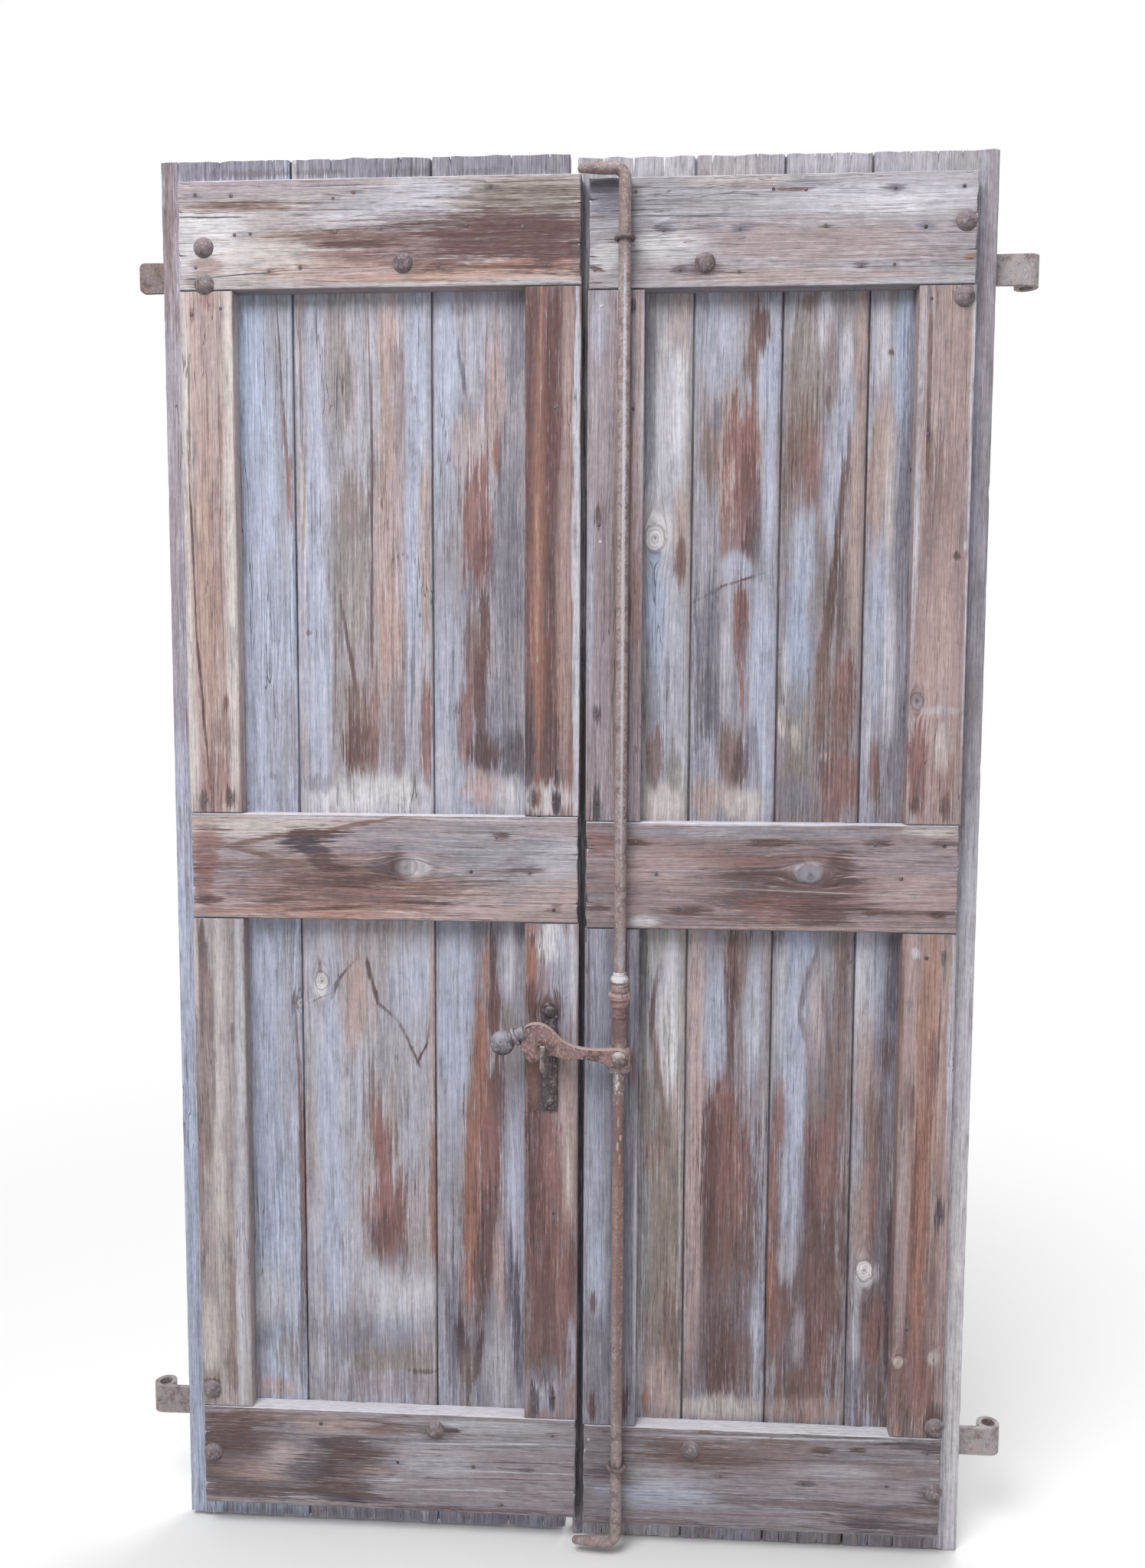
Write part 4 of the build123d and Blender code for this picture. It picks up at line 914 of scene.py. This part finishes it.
def read_stains_and_painted_light(node):
    """A node's stains, painted highlights and painted shade in mm, in the order of their rows."""
    face = Face(node)
    stains = []
    for row in STAINS_AND_PAINTED_LIGHT[node].split(","):
        words = row.split()
        if words[0].endswith(":"):
            face.crop = words.pop(0)[:-1]
        stains.append(face.stain(*words))
    return stains


# Cuts and wear of the wooden pieces, in mm.
CUT_ALONG = 14.0
CUT_ACROSS = 16.0
EDGE_BAND = 5.0
EDGE_WEAR = 0.55
EDGE_SWING = 1.6
# How much of an edge's loss goes into the thickness, and how much in from the side.
LOSS_IN_DEPTH = 0.8
LOSS_FROM_SIDE = 0.5
SIDE_BAND = 3.0
EDGE_WAVE = 38.0
CHIP_DEPTH = 6.4
CHIP_WAVE = 26.0
CHIP_RARITY = 0.22
END_CUTS = (3.0, 9.0, 22.0)
END_REACH = 45.0
END_DROP = 1.6
END_SWING = 1.8
END_WAVE = 23.0
RIPPLE_DROP = 0.7
RIPPLE_WAVE = 5.0
SPLIT_HALF_WIDTH = 0.9
SPLIT_DEPTHS = (5.0, 26.0)
SPLIT_MARGIN = 12.0
SHARP_ANGLE = math.radians(32.0)
MERGE_METRES = 1e-6
ON_PLANE_METRES = 1e-7


def cut_across(work, axis, places):
    """Cut the mesh at planes square to one axis, so it has points to move."""
    normal = Vector((0.0, 0.0, 0.0))
    normal[axis] = 1.0
    for place in sorted(places):
        everything = work.verts[:] + work.edges[:] + work.faces[:]
        bmesh.ops.bisect_plane(work, geom=everything, dist=ON_PLANE_METRES,
                               plane_co=normal * place * MM, plane_no=normal)


def spread(low, high, step):
    count = max(1, round((high - low) / step))
    return [low + (high - low) * number / count for number in range(1, count)]


def wave(place, size, seed, layer):
    """Smooth noise along one direction, its waves `size` mm long."""
    return perlin.noise(Vector((place / size, seed, layer)))


def edge_loss(run, seed):
    """How much of an edge is gone, with a chip here and there."""
    wavy = EDGE_WEAR * (1.0 + wave(run, EDGE_WAVE, seed, 0.0) * EDGE_SWING)
    chip = CHIP_DEPTH * max(0.0, wave(run, CHIP_WAVE, seed, 9.0) - CHIP_RARITY)
    return max(0.0, wavy) + chip


def end_splits(chance, low, high, wanted):
    """Places across an end where the wood has split, with how deep."""
    places = []
    for number in range(wanted):
        share = (number + chance.uniform(0.2, 0.8)) / wanted
        place = low + SPLIT_MARGIN + (high - low - 2.0 * SPLIT_MARGIN) * share
        places.append((place, chance.uniform(*SPLIT_DEPTHS)))
    return places


class Wear:
    """How one wooden piece has worn: its edges and ends, in mm, and what is gone from them."""

    def __init__(self, node, work, seed):
        chance = random.Random(seed)
        self.seed = seed
        self.cross, self.long = grain_order(0, 2, not is_rail(node))
        self.low, self.high = (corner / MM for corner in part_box(node))
        flat = [v.co[self.cross] / MM for v in work.verts if abs(v.co[1] / MM - self.low[1]) < 0.01]
        self.face = min(flat), max(flat)
        self.splits = {}
        if "stile" not in node:
            wanted = 2 if is_rail(node) else 3
            self.splits = {inward: end_splits(chance, *self.face, wanted) for inward in (1.0, -1.0)}

    def cut(self, work):
        """Give the mesh the points that the wear moves."""
        face_low, face_high = self.face
        across = spread(face_low, face_high, CUT_ACROSS)
        across += [face_low + EDGE_BAND, face_high - EDGE_BAND]
        for places in self.splits.values():
            for place, _ in places:
                across += [place - SPLIT_HALF_WIDTH, place, place + SPLIT_HALF_WIDTH]
        low, high = self.low[self.long], self.high[self.long]
        along = spread(low, high, CUT_ALONG)
        if self.splits:
            along += [low + c for c in END_CUTS] + [high - c for c in END_CUTS]
        cut_across(work, self.cross, across)
        cut_across(work, self.long, along)

    def edges(self, point, was):
        """Wear down a point that was near one of the four long edges."""
        side, depth, run = was[self.cross], was[1], was[self.long]
        for edge, inward in zip(self.face, (1.0, -1.0)):
            for skin, outward in ((self.low[1], 1.0), (self.high[1], -1.0)):
                near = 1.0 - abs(side - edge) / EDGE_BAND
                shallow = 1.0 - abs(depth - skin) / EDGE_BAND
                if near > 0.0 and shallow > 0.0:
                    loss = edge_loss(run, self.seed + inward * 3.0 + outward) * near
                    point[1] += outward * loss * shallow * LOSS_IN_DEPTH
                    if (side - edge) * inward < SIDE_BAND:
                        point[self.cross] += inward * loss * shallow * LOSS_FROM_SIDE

    def ends(self, point, was):
        """Draw back a point that was near an end, unevenly, and deeper in the splits."""
        side, run = was[self.cross], was[self.long]
        for inward, splits in self.splits.items():
            end = (self.low if inward > 0.0 else self.high)[self.long]
            away = abs(run - end)
            if away >= END_REACH:
                continue
            drop = END_DROP * (1.0 + wave(side, END_WAVE, self.seed, inward) * END_SWING)
            drop += END_DROP * RIPPLE_DROP * wave(side, RIPPLE_WAVE, self.seed, inward + 4.0)
            point[self.long] += inward * max(0.0, drop) * (1.0 - away / END_REACH) ** 2
            for place, deep in splits:
                if abs(side - place) < 0.05 and away < deep:
                    point[self.long] = end + inward * deep


def worn_copy(node, seed, material):
    """A copy of a wooden piece with wavy, chipped edges and uneven, split ends."""
    work = bmesh.new()
    work.from_mesh(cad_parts[node].data)
    bmesh.ops.remove_doubles(work, verts=work.verts, dist=MERGE_METRES)
    wear = Wear(node, work, seed)
    wear.cut(work)
    for vertex in work.verts:
        was = vertex.co / MM
        point = was.copy()
        wear.edges(point, was)
        wear.ends(point, was)
        vertex.co = point * MM
    bmesh.ops.dissolve_degenerate(work, edges=work.edges, dist=MERGE_METRES)
    bmesh.ops.triangulate(work, faces=[f for f in work.faces if len(f.verts) > 4])
    piece = new_piece(node + "_worn", work, material, smooth=True)
    piece.data.set_sharp_from_angle(angle=SHARP_ANGLE)
    leaf, kind = node.split("_")[0], "board" if "board" in node else node.split("_")[-1]
    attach(piece, leaf + "_leaf")
    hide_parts(node)


def nail_stains(node):
    """A small dark weather stain in the wood round each nail, longer along the grain."""
    if "board" in node:
        return []
    low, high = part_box(node)
    rows = []
    chance = random.Random(node)
    for x, z in NAILS[node.split("_")[0] + "_leaf"]:
        if not (low.x < x * MM < high.x and low.z < z * MM < high.z):
            continue
        along, side = chance.uniform(5.0, 11.0), chance.uniform(2.6, 3.8)
        halves = grain_order(side, along, not is_rail(node))
        shift = chance.uniform(-2.0, 2.0)
        amount = chance.uniform(0.25, 0.6)
        tone = chance.choice(("slate", "dark", "umber"))
        rows.append((tone, x + shift, z, *halves, amount, 0.9, 0.0))
    return rows


def dress_wood():
    for seed, (node, (base, second, lines)) in enumerate(WOOD.items(), 3):
        smears = read_stains_and_painted_light(node) + nail_stains(node)
        knots = KNOTS.get(node, ())
        material = weathered_wood(node, not is_rail(node), base, second, smears, knots, seed, lines)
        dress(node, material)
        worn_copy(node, seed, material)


def dress_iron():
    for words, (name, base, dark, pale, seed, more) in IRONS.items():
        nodes = [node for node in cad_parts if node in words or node.split("_")[-1] in words]
        smears = [row for node in nodes if node in STAINS_AND_PAINTED_LIGHT for row in read_stains_and_painted_light(node)]
        material = rusty_iron(name, base, dark, pale, seed, smears=smears, **more)
        for node in nodes:
            dress(node, material)


# Nail heads, in mm.
NAIL_RADIUS = 2.6
NAIL_RISE = 0.7
NAIL_AROUND = 14
# A head's rings: share of its radius, and of its rise.
NAIL_RINGS = ((1.0, -1.2), (1.0, 0.15), (0.86, 0.55), (0.5, 0.9))


def join_rings(work, rings):
    """Faces between rings of points, each ring to the next."""
    for lower, upper in zip(rings, rings[1:]):
        for corners in zip(lower, lower[1:] + lower[:1], upper[1:] + upper[:1], upper):
            work.faces.new(corners)


def add_head(work, x, z, radius, chance):
    """A low dome of slightly uneven rings, with a flat back inside the wood."""
    rings = []
    for share, rise in NAIL_RINGS:
        ring = []
        for step in range(NAIL_AROUND):
            angle = 2.0 * math.pi * step / NAIL_AROUND
            reach = radius * share * chance.uniform(0.94, 1.06)
            side, up = reach * math.cos(angle), reach * math.sin(angle)
            place = Vector((x + side, FRAME_FACE - rise * NAIL_RISE, z + up))
            ring.append(work.verts.new(place * MM))
        rings.append(ring)
    join_rings(work, rings)
    crown = work.verts.new(Vector((x, FRAME_FACE - NAIL_RISE, z)) * MM)
    back = work.verts.new(Vector((x, FRAME_FACE + 1.2 * NAIL_RISE, z)) * MM)
    for step in range(NAIL_AROUND):
        after = (step + 1) % NAIL_AROUND
        work.faces.new((rings[-1][step], rings[-1][after], crown))
        work.faces.new((rings[0][after], rings[0][step], back))


def nail_heads(name, body, places, material, seed):
    """Domed, slightly irregular nail heads standing in the framework's face."""
    chance = random.Random(seed)
    work = bmesh.new()
    for x, z in places:
        add_head(work, x, z, NAIL_RADIUS * chance.uniform(0.8, 1.15), chance)
    piece = new_piece(name, work, material, smooth=True)
    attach(piece, body)


def drive_nails():
    dark = rusty_iron("nail_rust", (96, 84, 86), (62, 54, 58), (150, 140, 142), 23, rub=0.4)
    pale = rusty_iron("nail_pale", (198, 194, 200), (150, 140, 140), (226, 222, 226), 29, rub=0.5)
    for seed, (body, places) in enumerate(NAILS.items(), 40):
        nail_heads(body.split("_")[0] + "_nail_heads", body, places, dark, seed)
    for body, places in PALE_NAILS.items():
        nail_heads(body.split("_")[0] + "_pale_nail_heads", body, places, pale, 50)


# The thin iron sheet behind the catch, in mm: left, right, bottom and top.
SHEET = (-53.0, -13.0, 630.0, 712.0)
SHEET_THICKNESS = 1.3
SHEET_LET_IN = 0.5
SHEET_CORNER = 1.5
SHEET_STEPS = 12
SHEET_WANDER = 0.3
# The sheet's rings: how far each is inside the wood, and how much smaller it is.
SHEET_RINGS = ((SHEET_LET_IN, 0.0), (-0.8 * SHEET_THICKNESS, 0.0), (-SHEET_THICKNESS, 0.4))
SHEET_STAINS = (
    ("rust", -45.0, 690.0, 9.0, 50.0, 0.45, 0.8, 0.0),
    ("dark", -26.0, 660.0, 14.0, 50.0, 0.8, 0.5, 0.0),
    ("cream", -30.0, 640.0, 2.5, 2.5, 0.9, 0.5, 0.0),
)


def sheet_outline():
    """The sheet's edge, slightly wavy, with its corners cut off."""
    chance = random.Random(77)
    left, right, bottom, top = SHEET
    places = ((left, bottom), (right, bottom), (right, top), (left, top))
    corners = [Vector(place) for place in places]
    outline = []
    for start, end in zip(corners, corners[1:] + corners[:1]):
        inset = SHEET_CORNER / (end - start).length
        for step in range(SHEET_STEPS + 1):
            point = start.lerp(end, inset + (1.0 - 2.0 * inset) * step / SHEET_STEPS)
            wander = [chance.uniform(-SHEET_WANDER, SHEET_WANDER) for _ in range(2)]
            outline.append(point + Vector(wander))
    return outline


def catch_sheet():
    """A thin worn sheet with slightly wavy edges, let in flush under the catch plate."""
    left, right, bottom, top = SHEET
    middle = Vector(((left + right) / 2.0, (bottom + top) / 2.0))
    outline = sheet_outline()
    work = bmesh.new()
    rings = []
    for depth, shrink in SHEET_RINGS:
        ring = []
        for point in outline:
            inward = (middle - point).normalized() * shrink
            place = Vector((point.x + inward.x, FRAME_FACE + depth, point.y + inward.y))
            ring.append(work.verts.new(place * MM))
        rings.append(ring)
    join_rings(work, rings)
    work.faces.new(rings[-1])
    work.faces.new(rings[0][::-1])
    bmesh.ops.recalc_face_normals(work, faces=work.faces)
    rust = rusty_iron("sheet_rust", (86, 66, 64), (62, 50, 51), (132, 120, 120), 37, rub=0.3,
                      smears=SHEET_STAINS, rust=0.4)
    piece = new_piece("catch_sheet", work, rust)
    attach(piece, "left_leaf")


# The camera stands where the photograph was taken from: metres, degrees and mm.
CAMERA_PLACE = (0.11086, -1.70869, 1.22663)
CAMERA_TURN = (85.0956, -0.2320, 3.5973)
CAMERA_LENS = 28.9425
FILM_HEIGHT = 36.0

FLOOR_REACH = 30.0
FLOOR_WHITENESS = 0.88
# The floor fades to plain white between these distances from the object.
FADE = (0.55, 2.6)
AMBIENT = 0.5
# Name, place, what it points at, size in metres and power in watts.
LIGHTS = (
    ("front_light", (-1.0, -2.2, 3.8), (0.0, 0.0, 0.8), 1.8, 114.0),
    ("back_light", (1.6, 2.8, 3.0), (0.0, 0.0, 0.9), 2.4, 80.0),
)


def make_floor():
    """A pale floor that keeps the shadow near the object and turns white further off."""
    work = bmesh.new()
    signs = ((-1, -1), (1, -1), (1, 1), (-1, 1))
    work.faces.new([work.verts.new((x * FLOOR_REACH, y * FLOOR_REACH, 0.0)) for x, y in signs])
    material, t, shader = new_material("floor_pale")
    t.fill(shader, {"Base Color": (FLOOR_WHITENESS,) * 3 + (1.0,), "Roughness": 0.9,
                    "Specular IOR Level": 0.0})
    place, _ = t.grounds(1.0)
    away = t.node("ShaderNodeVectorMath", place, operation="LENGTH").outputs["Value"]
    seen = t.node("ShaderNodeLightPath").outputs["Is Camera Ray"]
    glow = t.node("ShaderNodeEmission").outputs[0]
    share = t.math("MULTIPLY", t.smooth(away, *FADE), seen)
    blend = t.node("ShaderNodeMixShader", share, shader.outputs[0], glow)
    t.fill(material.node_tree.nodes["Material Output"], {"Surface": blend.outputs[0]})
    floor = new_piece("floor", work, material)


def make_world():
    """Even light from all round, and a white background."""
    world = bpy.data.worlds.new("studio")
    bpy.context.scene.world = world
    world.use_nodes = True
    t = Tree(world.node_tree)
    path = t.node("ShaderNodeLightPath")
    seen = t.math("MAXIMUM", path.outputs["Is Camera Ray"], path.outputs["Is Glossy Ray"])
    seen = t.math("MAXIMUM", seen, path.outputs["Is Transmission Ray"])
    strength = t.math("MULTIPLY_ADD", seen, 1.0 - AMBIENT, AMBIENT)
    t.fill(world.node_tree.nodes["Background"], {"Color": (1.0,) * 4, "Strength": strength})


def make_lights():
    for name, place, target, size, power in LIGHTS:
        light = bpy.data.lights.new(name, "AREA")
        light.shape = "SQUARE"
        light.size = size
        light.energy = power
        lamp = bpy.data.objects.new(name, light)
        lamp.location = place
        lamp.rotation_euler = (Vector(target) - Vector(place)).to_track_quat("-Z", "Y").to_euler()
        bpy.context.collection.objects.link(lamp)


def make_camera():
    lens = bpy.data.cameras.new("camera")
    lens.sensor_fit = "VERTICAL"
    lens.sensor_height = FILM_HEIGHT
    lens.lens = CAMERA_LENS
    lens.clip_start = 0.01
    camera = bpy.data.objects.new("camera", lens)
    camera.location = CAMERA_PLACE
    camera.rotation_euler = Euler([math.radians(a) for a in CAMERA_TURN], "XYZ")
    bpy.context.collection.objects.link(camera)
    bpy.context.scene.camera = camera


bpy.context.scene.view_settings.view_transform = "Standard"
make_camera()
make_world()
make_lights()
make_floor()
dress_wood()
dress_iron()
drive_nails()
catch_sheet()
